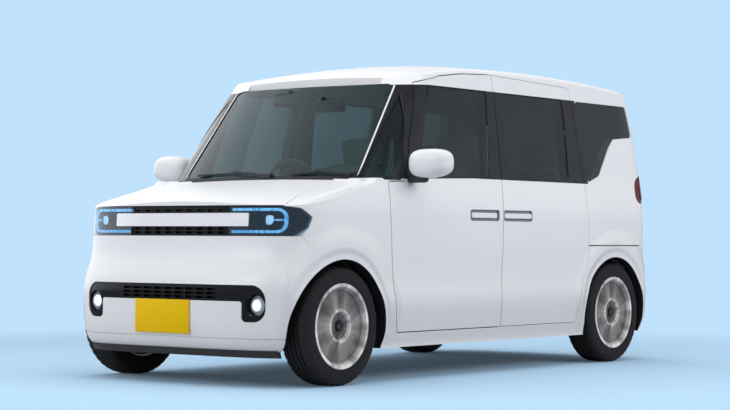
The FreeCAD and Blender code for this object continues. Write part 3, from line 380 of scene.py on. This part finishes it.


# Mask of the floor of the handle recesses, where the painted shade goes.
def makeHandleShadeMask():
    tree, end, (across, along, up) = newMask("handleShadeMask", "Mask")
    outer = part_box("door_left")[1][0] - handleRecessShade["depth"]
    deep = calc(tree, "LESS_THAN", calc(tree, "ABSOLUTE", across), outer)
    length = between(tree, along, *handleRecessShade["along"])
    height = between(tree, up, *handleRecessShade["up"])
    inside = calc(tree, "MULTIPLY", deep, calc(tree, "MULTIPLY", length, height))
    tree.links.new(inside, end.inputs["Mask"])
    return tree


# Soft relief of the side panels, in metres: brows over the wheels, the shoulder and the foot of the doors.
relief = {
    "sideReach": (0.62, 0.68),
    "browRadius": (0.400, 0.475),
    "browHeight": 0.020,
    "lipRadius": (0.335, 0.375),
    "lipHeight": 0.012,
    "browFloor": (0.18, 0.45),
    "shoulder": (0.80, 1.06),
    "shoulderTilt": 0.13,
    "foot": (0.16, 0.44),
    "footTilt": 0.17,
}


def makePanelRelief():
    tree, end, (across, along, up) = newMask("panelRelief", "Height")
    reach = fromAxle(tree, along, up, wheelCentres["height"])[2]
    brow = ramped(tree, reach, *relief["browRadius"], relief["browHeight"], 0.0)
    lip = ramped(tree, reach, *relief["lipRadius"], -relief["lipHeight"], 0.0)
    high = ramped(tree, up, *relief["browFloor"])
    wheelPart = calc(tree, "MULTIPLY", calc(tree, "ADD", brow, lip), high)
    low, top = relief["shoulder"]
    shoulder = ramped(tree, up, low, top, 0.0, -relief["shoulderTilt"] * (top - low))
    low, top = relief["foot"]
    foot = ramped(tree, up, low, top, -relief["footTilt"] * (top - low), 0.0)
    total = calc(tree, "ADD", wheelPart, calc(tree, "ADD", shoulder, foot))
    side = ramped(tree, calc(tree, "ABSOLUTE", across), *relief["sideReach"])
    tree.links.new(calc(tree, "MULTIPLY", total, side), end.inputs["Height"])
    return tree


glasshouseMask = makeGlasshouseMask()
handleShadeMask = makeHandleShadeMask()
archMask = makeArchMask()
panelRelief = makePanelRelief()
wheelPlace = makeWheelPlace()
toneShift = makeToneShift()
fineGrain = makeFineGrain()


def placeGroup(tree, group, **values):
    node = tree.nodes.new("ShaderNodeGroup")
    node.node_tree = group
    for key, value in values.items():
        node.inputs[key].default_value = value
    return node


def raisedBy(tree, shader, height, strength, distance):
    raised = addNode(tree, "ShaderNodeBump", {"Strength": strength, "Distance": distance})
    tree.links.new(height, raised.inputs["Height"])
    tree.links.new(raised.outputs["Normal"], shader.inputs["Normal"])


def surfaced(name, tone, scale, amount, grain=0.0, depth=0.2, bump=0.1, height=0.001, **sockets):
    """Material whose colour drifts a little, with a fine grain where one is given."""
    material, tree, shader = newMaterial(name, **sockets)
    shift = placeGroup(tree, toneShift, Tone=(*tone, 1.0), Scale=scale, Amount=amount)
    tree.links.new(shift.outputs["Color"], shader.inputs["Base Color"])
    if grain:
        texture = placeGroup(tree, fineGrain, Scale=grain, Depth=depth)
        raisedBy(tree, shader, texture.outputs["Height"], bump, height)
    return material


def blended(tree, mask, first, second):
    mix = addNode(tree, "ShaderNodeMix", data_type="RGBA")
    tree.links.new(mask, mix.inputs["Factor"])
    tree.links.new(first, mix.inputs["A"])
    if isinstance(second, tuple):
        mix.inputs["B"].default_value = (*second, 1.0)
    else:
        tree.links.new(second, mix.inputs["B"])
    return mix.outputs["Result"]


# Body paint, and the black of its window band and wheel openings.
pearl = (0.80, 0.81, 0.84)
pearlDrift = {"Scale": 1.5, "Amount": 0.03}
pearlGloss = {"Roughness": 0.26, "Specular_IOR_Level": 0.38}
bandBlack = (0.020, 0.021, 0.025)
bandDrift = {"Scale": 3.0, "Amount": 0.2}


def bandedPaint(name, maskGroups, recessShaded=False):
    """Body paint that is black inside the masks, with the relief of the flanks, and painted shade on the
    floor of the handle recesses where asked.
    """
    material, tree, shader = newMaterial(name, **pearlGloss)
    white = placeGroup(tree, toneShift, Tone=(*pearl, 1.0), **pearlDrift)
    black = placeGroup(tree, toneShift, Tone=(*bandBlack, 1.0), **bandDrift)
    masks = [placeGroup(tree, group).outputs["Mask"] for group in maskGroups]
    mask = calc(tree, "MAXIMUM", *masks) if len(masks) > 1 else masks[0]
    tone = blended(tree, mask, white.outputs["Color"], black.outputs["Color"])
    # Painted shade on the floor of the handle recesses.
    if recessShaded:
        tone = blended(tree, placeGroup(tree, handleShadeMask).outputs["Mask"], tone, handleRecessShade["tone"])
    tree.links.new(tone, shader.inputs["Base Color"])
    raisedBy(tree, shader, placeGroup(tree, panelRelief).outputs["Height"], 1.0, 1.0)
    return material


# Rings of the turning wheels: share of the rim's radius and tone. The first two are the ends of the ramp.
wheelTones = (
    (0.0, (0.05, 0.05, 0.055)),
    (1.0, (0.74, 0.73, 0.72)),
    (0.055, (0.05, 0.05, 0.055)),
    (0.065, (0.006, 0.006, 0.007)),
    (0.14, (0.008, 0.008, 0.009)),
    (0.16, (0.12, 0.12, 0.12)),
    (0.20, (0.07, 0.07, 0.075)),
    (0.25, (0.16, 0.16, 0.16)),
    (0.31, (0.10, 0.10, 0.10)),
    (0.345, (0.60, 0.59, 0.58)),
    (0.40, (0.62, 0.61, 0.60)),
    (0.45, (0.30, 0.29, 0.285)),
    (0.60, (0.22, 0.212, 0.21)),
    (0.82, (0.20, 0.19, 0.19)),
    (0.90, (0.15, 0.145, 0.145)),
    (0.94, (0.42, 0.41, 0.40)),
)
wheelSectors = {"count": 2.4, "cloud": (0.30, 0.70), "level": (0.45, 1.55)}


def wheelZones(name, **sockets):
    """Metal whose tone follows the distance from the wheel's axle, with soft sectors."""
    material, tree, shader = newMaterial(name, **sockets)
    place = placeGroup(tree, wheelPlace)
    ramp = addNode(tree, "ShaderNodeValToRGB")
    stops = ramp.color_ramp.elements
    for index, (share, tone) in enumerate(wheelTones):
        stop = stops[index] if index < 2 else stops.new(share)
        stop.position = share
        stop.color = (*tone, 1.0)
    tree.links.new(place.outputs["Radius"], ramp.inputs["Fac"])
    circle = tree.nodes.new("ShaderNodeCombineXYZ")
    for index, operation in enumerate(("COSINE", "SINE")):
        turned = calc(tree, operation, place.outputs["Angle"])
        tree.links.new(calc(tree, "MULTIPLY", turned, wheelSectors["count"]), circle.inputs[index])
    tree.links.new(place.outputs["Radius"], circle.inputs[2])
    cloud = addNode(tree, "ShaderNodeTexNoise", {"Scale": 1.0, "Detail": 2.0})
    tree.links.new(circle.outputs[0], cloud.inputs["Vector"])
    level = ramped(tree, cloud.outputs["Fac"], *wheelSectors["cloud"], *wheelSectors["level"])
    tree.links.new(scaledTone(tree, ramp.outputs["Color"], level), shader.inputs["Base Color"])
    return material


def clearGlass(name, tint, shade):
    """Glass that lets lamp light through, with its own gloss."""
    glossy = {"Transmission_Weight": 1.0, "IOR": 1.5, "Roughness": 0.0}
    material, tree, shader = newMaterial(name, Base_Color=(*tint, 1.0), **glossy)
    path = addNode(tree, "ShaderNodeLightPath")
    passing = addNode(tree, "ShaderNodeBsdfTransparent", {"Color": (*shade, 1.0)})
    both = mixShaders(tree, path.outputs["Is Shadow Ray"], shader.outputs[0], passing.outputs[0])
    tree.links.new(both, tree.nodes["Material Output"].inputs["Surface"])
    return material


# Finish of each material slot: tone, drift scale and amount, then grain scale, depth and bump.
finishes = {
    "paint": surfaced("pearlWhite", pearl, pearlDrift["Scale"], pearlDrift["Amount"], **pearlGloss),
    "black_trim": surfaced(
        "glossBlack", (0.012, 0.013, 0.015), 3.0, 0.2, Roughness=0.14, Specular_IOR_Level=0.16
    ),
    "dark_plastic": surfaced("moulding", (0.022, 0.023, 0.025), 4.0, 0.3, 900.0, 0.6, 0.3, Roughness=0.55),
    "silver_trim": surfaced(
        "satinSilver", (0.74, 0.745, 0.80), 6.0, 0.06, 1200.0, 0.3, 0.05, Roughness=0.30, Metallic=0.6
    ),
    "light_guide": surfaced(
        "guideGlow", (0.20, 0.38, 0.50), 8.0, 0.05,
        Roughness=0.2, Emission_Color=(0.22, 0.60, 0.95, 1.0), Emission_Strength=0.75,
    ),
    "lamp_red": surfaced("redLens", (0.13, 0.006, 0.012), 8.0, 0.1, Roughness=0.08, Specular_IOR_Level=0.4),
    "tyre": surfaced(
        "tyreRubber", (0.013, 0.013, 0.015), 30.0, 0.3, 700.0, 0.5, 0.3,
        Roughness=0.6, Specular_IOR_Level=0.3,
    ),
    "rim": wheelZones("wheelSilver", Roughness=0.36, Metallic=0.3),
    "steel_black": surfaced("chassisBlack", (0.03, 0.03, 0.033), 12.0, 0.3, 200.0, 0.5, 0.3, Roughness=0.5),
    "battery": surfaced(
        "castCase", (0.22, 0.23, 0.24), 12.0, 0.2, 300.0, 0.5, 0.3, Roughness=0.45, Metallic=0.7
    ),
    "seat_cloth": surfaced(
        "seatCloth", (0.50, 0.51, 0.47), 12.0, 0.1, 900.0, 0.7, 0.6, Roughness=0.9, Sheen_Weight=0.3
    ),
    "dash": surfaced("dashGrain", (0.06, 0.06, 0.065), 8.0, 0.2, 900.0, 0.6, 0.3, Roughness=0.65),
    "floor": surfaced("floorPaint", (0.10, 0.105, 0.11), 8.0, 0.2, Roughness=0.5),
    "wheel_trim": surfaced("wheelGrain", (0.12, 0.12, 0.12), 8.0, 0.2, 900.0, 0.6, 0.3, Roughness=0.5),
    "lamp_clear": clearGlass("lampCover", (0.40, 0.56, 0.70), (0.35, 0.45, 0.55)),
    "fog_lens": surfaced(
        "lampLens", (0.42, 0.48, 0.54), 60.0, 0.3,
        Roughness=0.08, Metallic=0.3, Emission_Color=(0.60, 0.85, 1.0, 1.0), Emission_Strength=0.10,
    ),
    "glass": clearGlass("sideGlass", (0.16, 0.20, 0.20), (0.45, 0.52, 0.50)),
}

# Finishes of single pieces.
plateYellow = surfaced(
    "plateYellow", (0.86, 0.54, 0.0), 30.0, 0.05, 300.0, 0.3, 0.1, Roughness=0.5, Specular_IOR_Level=0.12
)
lampCore = surfaced(
    "lampCore", (0.80, 0.90, 0.95), 60.0, 0.1,
    Roughness=0.2, Emission_Color=(0.72, 0.90, 1.0, 1.0), Emission_Strength=0.9,
)
brightTrim = surfaced("brightTrim", (0.75, 0.77, 0.79), 8.0, 0.05, Roughness=0.15, Metallic=0.9)
# The band's paint also carries painted shade in the handle recesses.
banded = bandedPaint("pearlWithBlackBand", (glasshouseMask, archMask), recessShaded=True)
archPaint = bandedPaint("pearlWithBlackArch", (archMask,))
ownFinish = {
    "body_side_left": banded,
    "body_side_right": banded,
    "door_left": banded,
    "door_right": banded,
    "slide_doors": banded,
    "fenders": archPaint,
    "front_bumper": archPaint,
    "rear_bumper": archPaint,
    "windscreen": clearGlass("screenGlass", (0.30, 0.38, 0.37), (0.55, 0.64, 0.60)),
    "tailgate_glass": clearGlass("privacyGlass", (0.06, 0.07, 0.075), (0.2, 0.22, 0.22)),
}

for row in frame["record"]["subparts"]:
    piece = nodes[row["node"]]
    piece.material_slots[0].material = ownFinish.get(row["node"]) or finishes[row["material_slot"]]
print("finishes given")


# Helpers for the scene's own pieces.
def newPiece(name, bm, body, slot, material, sharp=35.0):
    bmesh.ops.recalc_face_normals(bm, faces=bm.faces)
    mesh = bpy.data.meshes.new(name)
    bm.to_mesh(mesh)
    bm.free()
    mesh.materials.append(material)
    mesh.shade_smooth()
    mesh.set_sharp_from_angle(angle=math.radians(sharp))
    piece = bpy.data.objects.new(name, mesh)
    scene.collection.objects.link(piece)
    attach(piece, body)
    return piece


def roundedBlock(bm, size, place, offset, segments=3, turn=None):
    """Adds a block with rounded edges."""
    part = bmesh.new()
    bmesh.ops.create_cube(part, size=1.0)
    bmesh.ops.scale(part, vec=size, verts=part.verts)
    bmesh.ops.bevel(
        part, geom=part.edges[:], offset=offset, segments=segments, affect="EDGES", profile=0.5, material=-1
    )
    if turn is not None:
        bmesh.ops.rotate(part, cent=(0.0, 0.0, 0.0), matrix=turn, verts=part.verts)
    bmesh.ops.translate(part, vec=place, verts=part.verts)
    mesh = bpy.data.meshes.new("scratch")
    part.to_mesh(mesh)
    part.free()
    bm.from_mesh(mesh)
    bpy.data.meshes.remove(mesh)


def roundedForm(cuts, power, placeOf):
    """Cube drawn toward a ball, with each point put in its place by placeOf."""
    bm = bmesh.new()
    bmesh.ops.create_cube(bm, size=2.0)
    bmesh.ops.subdivide_edges(bm, edges=bm.edges[:], cuts=cuts, use_grid_fill=True)
    for vert in bm.verts:
        u, v, w = vert.co
        reach = (abs(u) ** power + abs(v) ** power + abs(w) ** power) ** (1.0 / power)
        vert.co = placeOf(u / reach, v / reach, w / reach)
    return bm


def flatBall(radius, depth, place):
    """Ball flattened along the car."""
    bm = bmesh.new()
    bmesh.ops.create_uvsphere(bm, u_segments=24, v_segments=12, radius=radius)
    bmesh.ops.scale(bm, vec=(1.0, depth / radius, 1.0), verts=bm.verts)
    bmesh.ops.translate(bm, vec=place, verts=bm.verts)
    return bm


def surfaceTree(*names):
    """Searchable surface of some CAD nodes."""
    bm = bmesh.new()
    for name in names:
        bm.from_mesh(nodes[name].data)
    tree = BVHTree.FromBMesh(bm)
    bm.free()
    return tree


def frontPlace(tree, x, z, lift=0.0):
    """Place on the front of a surface, seen along the car."""
    hit = tree.ray_cast(Vector((x, cadLow[1] - 1.0, z)), Vector((0.0, 1.0, 0.0)))[0]
    return hit + Vector((0.0, -lift, 0.0))


def halfOf(node):
    low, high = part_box(node)
    return [(high[i] - low[i]) / 2.0 for i in range(3)]


def joinRows(bm, first, second):
    """Faces between two closed rows of vertices."""
    count = len(first)
    for i in range(count):
        j = (i + 1) % count
        bm.faces.new((first[i], first[j], second[j], second[i]))


def joinRound(bm, rows):
    for first, second in zip(rows, rows[1:] + rows[:1]):
        joinRows(bm, first, second)


def turnedRows(bm, profiles, centre, side):
    """Surface turned about the wheel's axle, from one profile for each step."""
    rows = []
    for k, profile in enumerate(profiles):
        angle = 2.0 * math.pi * k / len(profiles)
        along, up = math.cos(angle), math.sin(angle)
        places = [(side * x + centre[0], r * along + centre[1], r * up + centre[2]) for x, r in profile]
        rows.append([bm.verts.new(place) for place in places])
    joinRound(bm, rows)


# Tyres: tread with ribs, shoulder notches and raised rings on the wall.
tyreShape = {
    "steps": 168,
    "notchEvery": 4,
    "notchDepth": 0.004,
    "grooves": (-0.46, -0.16, 0.16, 0.46),
    "grooveHalf": 0.045,
    "grooveFloor": 0.7,
    "grooveDepth": 0.0065,
    "beadGap": 0.0005,
    "sharp": 28.0,
    "wallShares": (
        (0.900, 0.004), (0.945, 0.10), (0.985, 0.24), (0.975, 0.265), (0.998, 0.30), (1.0, 0.42),
        (0.992, 0.54), (0.976, 0.62), (0.984, 0.645), (0.968, 0.68), (0.962, 0.74), (0.945, 0.80),
    ),
    "shoulderShares": ((0.915, 0.87), (0.86, 0.925), (0.79, 0.965), (0.70, 0.99), (0.62, 1.0)),
}


def tyreProfile(half, bead, outer, notch):
    height = outer - bead
    side = [(x * half, bead + r * height) for x, r in tyreShape["wallShares"]]
    side += [(x * half, bead + r * height - notch) for x, r in tyreShape["shoulderShares"]]
    edge = tyreShape["grooveHalf"]
    floor = tyreShape["grooveFloor"] * edge
    deep = outer - tyreShape["grooveDepth"]
    tread = []
    for middle in reversed(tyreShape["grooves"]):
        tread += [((middle + edge) * half, outer), ((middle + floor) * half, deep)]
        tread += [((middle - floor) * half, deep), ((middle - edge) * half, outer)]
    return side + tread + [(-x, r) for x, r in reversed(side)]


def addTyre(corner, side):
    node = "tyre_" + corner
    half = halfOf(node)
    bead = halfOf("rim_" + corner)[2] + tyreShape["beadGap"]
    profiles = []
    for k in range(tyreShape["steps"]):
        notch = tyreShape["notchDepth"] if k % tyreShape["notchEvery"] == 0 else 0.0
        profiles.append(tyreProfile(half[0], bead, half[2], notch))
    bm = bmesh.new()
    turnedRows(bm, profiles, middleOf(node), side)
    rubber = finishes["tyre"]
    piece = newPiece("roadTyre_" + corner, bm, "wheel_" + corner, "tyre", rubber, tyreShape["sharp"])
    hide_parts(node)


# Flange of the rim over the tyre's bead: places out from the wheel's middle and up from the rim's edge.
flange = {
    "steps": 120,
    "rows": (
        (0.90, -0.005), (0.945, -0.0045), (0.966, 0.001), (0.972, 0.007), (0.964, 0.0115), (0.93, 0.012),
    ),
}


def addFlange(corner, side):
    half = halfOf("tyre_" + corner)[0]
    edge = halfOf("rim_" + corner)[2]
    middle = [middleOf("tyre_" + corner)[0], *middleOf("rim_" + corner)[1:]]
    profile = [(share * half, edge + rise) for share, rise in flange["rows"]]
    bm = bmesh.new()
    turnedRows(bm, [profile] * flange["steps"], middle, side)
    newPiece("rimFlange_" + corner, bm, "wheel_" + corner, "rim", finishes["rim"])


for end in ("front", "rear"):
    for hand, side in (("left", 1.0), ("right", -1.0)):
        addTyre(end + "_" + hand, side)
        addFlange(end + "_" + hand, side)
print("tyres made")


# Door mirrors: a rounded cap between two corners, on a black foot, with the glass behind.
# Foot and glass have their place, size and rounding.
mirror = {
    "low": (0.741, -0.823, 0.990),
    "high": (0.9672, -0.682, 1.131),
    "power": 3.0,
    "back": 0.86,
    "taper": 0.16,
    "cuts": 20,
    "sharp": 60.0,
    "foot": ((0.752, -0.742, 0.986), (0.130, 0.062, 0.036), 0.016),
    "glass": ((0.856, -0.6915, 1.062), (0.150, 0.0040, 0.084), 0.0015),
}


def addMirror(hand, side):
    spans = list(zip(mirror["low"], mirror["high"]))
    half = [(high - low) / 2.0 for low, high in spans]
    middle = [(high + low) / 2.0 for low, high in spans]

    def placeOf(u, v, w):
        v = min(v, mirror["back"])
        if w < 0.0:
            w *= 1.0 - mirror["taper"] * max(u, 0.0)
        return side * (middle[0] + u * half[0]), middle[1] + v * half[1], middle[2] + w * half[2]

    bm = roundedForm(mirror["cuts"], mirror["power"], placeOf)
    cap = newPiece("mirrorCap_" + hand, bm, "door_" + hand, "paint", finishes["paint"], mirror["sharp"])
    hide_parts("mirror_" + hand)
    for name, slot, finish in (
        ("foot", "black_trim", finishes["dark_plastic"]),
        ("glass", "silver_trim", brightTrim),
    ):
        (x, y, z), size, rounding = mirror[name]
        bm = bmesh.new()
        roundedBlock(bm, size, (side * x, y, z), rounding)
        newPiece("mirror" + name.capitalize() + "_" + hand, bm, "door_" + hand, slot, finish)


addMirror("left", 1.0)
addMirror("right", -1.0)
print("mirrors made")


def ribbon(sections):
    """Closed band through its cross-sections, capped at both ends."""
    bm = bmesh.new()
    rows = [[bm.verts.new(place) for place in section] for section in sections]
    for first, second in zip(rows, rows[1:]):
        joinRows(bm, first, second)
    bm.faces.new(rows[0])
    bm.faces.new(list(reversed(rows[-1])))
    return bm


# Black strip under the front bumper: a black lower lip, which also stands in for painted shade under the
# nose.
damAndShade = {
    "reach": 0.60,
    "steps": 30,
    "inset": 0.012,
    "drop": 0.026,
    "top": 0.3,
    "thickness": 0.020,
}


# Part black lip, part painted shade under the nose.
def addDamAndShade():
    bumper = surfaceTree("front_bumper")
    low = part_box("front_bumper")[0][2]
    bottom = low - damAndShade["drop"]
    top = low + damAndShade["top"] * damAndShade["drop"]
    inset = damAndShade["inset"]
    sections = []
    for k in range(damAndShade["steps"] + 1):
        x = damAndShade["reach"] * (2.0 * k / damAndShade["steps"] - 1.0)
        front = frontPlace(bumper, x, low + damAndShade["drop"], -inset).y
        back = front + damAndShade["thickness"]
        outline = ((front + inset, bottom), (front, top), (back, top), (back + inset, bottom))
        sections.append([(x, y, z) for y, z in outline])
    newPiece("airDamAndShade", ribbon(sections), "body", "dark_plastic", finishes["dark_plastic"])


# Rear lamps: a dark red lens that wraps from the corner onto the flank, on a black edge.
# Each part has its scale, its height over the body and its slot.
rearLens = {
    "axis": (0.560, 1.480),
    "turn": (7.0, 60.0),
    "up": (0.922, 1.068),
    "power": 5.0,
    "cuts": 16,
    "depth": 0.006,
    "rimDepth": 0.003,
    "parts": (
        ("rearLensEdge_", 1.10, 0.0014, "black_trim"),
        ("rearLens_", 1.0, 0.0035, "lamp_red"),
    ),
}


def cornerSheet(bm, tree, side, scale, lift, rimLift):
    """Rounded square grid of vertices that follows the rear corner."""
    count = rearLens["cuts"]
    power = rearLens["power"]
    first, last = rearLens["turn"]
    low, high = rearLens["up"]
    rows = []
    for i in range(count + 1):
        row = []
        for j in range(count + 1):
            u = 2.0 * i / count - 1.0
            v = 2.0 * j / count - 1.0
            most = max(abs(u), abs(v))
            reach = (abs(u) ** power + abs(v) ** power) ** (1.0 / power)
            shrink = scale * most / reach if reach else 0.0
            angle = math.radians((first + last) / 2.0 + shrink * u * (last - first) / 2.0)
            z = (low + high) / 2.0 + shrink * v * (high - low) / 2.0
            away = Vector((side * math.cos(angle), math.sin(angle), 0.0))
            axis = Vector((side * rearLens["axis"][0], rearLens["axis"][1], z))
            hit = tree.ray_cast(axis + away, -away)[0]
            row.append(bm.verts.new(hit + (lift if most < 1.0 else rimLift) * away))
        rows.append(row)
    return rows


def rimOf(sheet):
    """Outermost vertices of a square grid, in order."""
    last = len(sheet) - 1
    rim = [sheet[k][0] for k in range(last)]
    rim += [sheet[last][k] for k in range(last)]
    rim += [sheet[last - k][last] for k in range(last)]
    rim += [sheet[0][last - k] for k in range(last)]
    return rim


def addRearLens(hand, side):
    tree = surfaceTree("body_side_" + hand, "tail_lamps", "tailgate", "rear_bumper")
    depth = rearLens["depth"]
    for name, scale, lift, slot in rearLens["parts"]:
        bm = bmesh.new()
        front = cornerSheet(bm, tree, side, scale, lift, -rearLens["rimDepth"])
        back = cornerSheet(bm, tree, side, scale, -depth, -depth)
        for sheet in (front, back):
            for i in range(rearLens["cuts"]):
                for j in range(rearLens["cuts"]):
                    bm.faces.new((sheet[i][j], sheet[i + 1][j], sheet[i + 1][j + 1], sheet[i][j + 1]))
        joinRows(bm, rimOf(front), rimOf(back))
        newPiece(name + hand, bm, "body", slot, finishes[slot])


# Pale edge of the screen's pillars: its foot and its head, as places across and up.
screenEdge = {
    "foot": (0.566, 1.005),
    "head": (0.521, 1.470),
    "steps": 20,
    "width": 0.008,
    "inset": 0.024,
    "lift": 0.0025,
}


def addScreenEdge(hand, side):
    screen = surfaceTree("windscreen", "body_side_" + hand)
    lift = Vector((0.0, -screenEdge["lift"], 0.0))
    back = -2.0 * lift
    inset = screenEdge["inset"]
    sections = []
    for k in range(screenEdge["steps"] + 1):
        share = k / screenEdge["steps"]
        x, z = [low + share * (high - low) for low, high in zip(screenEdge["foot"], screenEdge["head"])]
        start = frontPlace(screen, side * (x - inset), z)
        edges = []
        for reach in (inset, inset + screenEdge["width"]):
            edges.append(screen.find_nearest(start + Vector((side * reach, 0.0, 0.0)))[0] + lift)
        inner, outer = edges
        sections.append([inner, outer, outer + back, inner + back])
    newPiece("screenEdge_" + hand, ribbon(sections), "body", "paint", finishes["paint"])


addDamAndShade()
addRearLens("left", 1.0)
addRearLens("right", -1.0)
addScreenEdge("left", 1.0)
addScreenEdge("right", -1.0)


# Blank number plate on its holder.
plate = {
    "width": 0.350,
    "height": 0.160,
    "thickness": 0.0035,
    "rounding": 0.0015,
    "x": -0.035,
    "z": 0.3215,
    "gap": 0.004,
    "rim": 0.007,
    "raised": 0.0008,
    "holderInset": 0.035,
    "holderRounding": 0.002,
}


def plateBlock(bm, inset, thickness, place, rounding):
    size = (plate["width"] - inset, thickness, plate["height"] - inset)
    roundedBlock(bm, size, place, rounding)


def addPlate():
    face = frontPlace(surfaceTree("front_bumper"), plate["x"], plate["z"], plate["gap"])
    raised = plate["raised"]
    bm = bmesh.new()
    plateBlock(bm, 0.0, plate["thickness"], face, plate["rounding"])
    plateBlock(bm, 2 * plate["rim"], plate["thickness"], face + Vector((0.0, -raised, 0.0)), raised)
    newPiece("plateBlank", bm, "body", "paint", plateYellow)
    bm = bmesh.new()
    behind = face + Vector((0.0, plate["gap"], 0.0))
    plateBlock(bm, plate["holderInset"], 2 * plate["gap"], behind, plate["holderRounding"])
    newPiece("plateHolder", bm, "body", "dark_plastic", finishes["dark_plastic"])


addPlate()


# Fog lamps with their rings, projector lenses, and the camera under the bar.
# The ring's profile gives places along the car and shares of its width.
lampParts = {
    "fog": (0.514, 0.382),
    "ring": (0.0395, 0.0465),
    "ringSteps": 64,
    "ringProfile": ((0.0, 0.0), (-0.004, 0.2), (-0.004, 0.7), (0.004, 1.0), (0.006, 0.0)),
    "core": (0.026, 0.006),
    "projector": (0.528, 0.777),
    "projectorBack": 0.024,
    "projectorSize": (0.050, 0.018, 0.044),
    "projectorRounding": 0.0081,
    "camera": (-0.022, 0.738),
    "cameraLift": 0.002,
    "cameraSize": (0.030, 0.010, 0.018),
    "cameraRounding": 0.004,
    "cameraLens": (0.0085, 0.00425),
}


def addFogRing(hand, x, z, tree):
    inner, outer = lampParts["ring"]
    middle = frontPlace(tree, x, z + (inner + outer) / 2.0)
    profile = [(middle.y + y, inner + share * (outer - inner)) for y, share in lampParts["ringProfile"]]
    bm = bmesh.new()
    rows = []
    for k in range(lampParts["ringSteps"]):
        angle = 2.0 * math.pi * k / lampParts["ringSteps"]
        across, up = math.cos(angle), math.sin(angle)
        rows.append([bm.verts.new((x + r * across, y, z + r * up)) for y, r in profile])
    joinRound(bm, rows)
    newPiece("fogRing_" + hand, bm, "body", "silver_trim", brightTrim)


def addLampParts():
    band = surfaceTree("grilles")
    lenses = surfaceTree("lamp_lenses", "front_bumper", "headlamps")
    for side, hand in ((1.0, "left"), (-1.0, "right")):
        x, z = lampParts["fog"]
        addFogRing(hand, side * x, z, band)
        bm = flatBall(*lampParts["core"], frontPlace(lenses, side * x, z))
        newPiece("fogCore_" + hand, bm, "body", "fog_lens", lampCore)
        x, z = lampParts["projector"]
        place = frontPlace(lenses, side * x, z, -lampParts["projectorBack"])
        bm = bmesh.new()
        roundedBlock(bm, lampParts["projectorSize"], place, lampParts["projectorRounding"], segments=4)
        newPiece("projectorLens_" + hand, bm, "body", "fog_lens", lampCore)
    place = frontPlace(band, *lampParts["camera"], lampParts["cameraLift"])
    size = lampParts["cameraSize"]
    bm = bmesh.new()
    roundedBlock(bm, size, place, lampParts["cameraRounding"], segments=4)
    newPiece("cameraHousing", bm, "body", "dark_plastic", finishes["dark_plastic"])
    bm = flatBall(*lampParts["cameraLens"], place + Vector((0.0, -size[1] / 2.0, 0.0)))
    newPiece("cameraLens", bm, "body", "black_trim", finishes["black_trim"])


addLampParts()


# Interior mirror and the sensor housing behind the screen's top, each on a stem:
# place across and up, size, rounding, distance behind the screen and lean in degrees.
behindScreen = {
    "mirror": ((0.136, 1.367), (0.215, 0.022, 0.062), 0.0088, 0.075, 12.0, "black_trim"),
    "sensor": ((-0.112, 1.410), (0.215, 0.050, 0.075), 0.020, 0.040, -28.0, "dark_plastic"),
}
# The stem's reach is a share of that distance.
stem = {"width": 0.024, "height": 0.020, "rounding": 0.006, "rise": 0.04, "reach": 1.3}


def addBehindScreen():
    screen = surfaceTree("windscreen")
    for name, ((x, z), size, rounding, back, lean, slot) in behindScreen.items():
        bm = bmesh.new()
        turn = Matrix.Rotation(math.radians(lean), 3, "X")
        roundedBlock(bm, size, frontPlace(screen, x, z, -back), rounding, segments=4, turn=turn)
        stemSize = (stem["width"], stem["reach"] * back, stem["height"])
        stemPlace = frontPlace(screen, x, z + stem["rise"], -back / 2.0)
        roundedBlock(bm, stemSize, stemPlace, stem["rounding"])
        newPiece("screen_" + name, bm, "body", slot, finishes[slot])


addBehindScreen()
print("front pieces made")


# Padded seats: cushion, back and headrest, each a crowned form with sewn channels.
# A pad has its width, where it isn't the seat's, length and thickness, its place behind and above the
# seat's corner, its turn in degrees, the height of its bolsters and the number of its channels.
seating = {
    "power": 5.0,
    "cuts": 23,
    "crown": 0.020,
    "bolsterAt": 0.82,
    "bolsterWidth": 0.12,
    "channel": 0.006,
    "channelReach": 0.70,
    "channelSharpness": 8,
    "sharp": 80.0,
    "rise": 0.087,
    "pads": (
        ("Cushion", None, 0.53, 0.17, 0.275, 0.150, 3.0, 0.025, 4),
        ("Back", None, 0.56, 0.14, 0.555, 0.480, 102.5, 0.035, 4),
        ("Headrest", 0.245, 0.155, 0.095, 0.628, 0.828, 102.5, 0.0, 0),
    ),
}


def padForm(name, size, place, lean, bolster, channels, node=None):
    """Crowned pad: channels run across it, and its side bolsters stand up."""
    turn = Matrix.Rotation(math.radians(lean), 3, "X")

    def placeOf(u, v, w):
        top = max(w, 0.0)
        rise = seating["crown"] * (1.0 - u * u) * (1.0 - v * v) * top
        aside = (abs(u) - seating["bolsterAt"]) / seating["bolsterWidth"]
        rise += bolster * top * math.exp(-aside ** 2) * (1.0 - v ** 4)
        if abs(u) < seating["channelReach"] and channels:
            wave = max(0.0, math.cos(v * channels * math.pi))
            rise -= seating["channel"] * top * wave ** seating["channelSharpness"]
        local = Vector((u * size[0] / 2.0, v * size[1] / 2.0, w * size[2] / 2.0 + rise))
        return turn @ local + Vector(place)

    bm = roundedForm(seating["cuts"], seating["power"], placeOf)
    piece = newPiece(name, bm, "body", "seat_cloth", finishes["seat_cloth"], seating["sharp"])
    if node:
        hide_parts(node)


def addSeat(name, x, width, node, replaced=False):
    low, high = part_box(node)
    for part, ownWidth, length, thickness, behind, above, lean, bolster, channels in seating["pads"]:
        size = (ownWidth or width, length, thickness)
        place = (x, low[1] + behind, low[2] + seating["rise"] + above)
        stoodFor = node if replaced and part == "Cushion" else None
        padForm(name + part, size, place, lean, bolster, channels, stoodFor)


addSeat("driver", -0.325, 0.47, "front_seats", replaced=True)
addSeat("passenger", 0.325, 0.47, "front_seats")
addSeat("rearRight", -0.252, 0.495, "rear_seat", replaced=True)
addSeat("rearLeft", 0.252, 0.495, "rear_seat")
print("seats made")
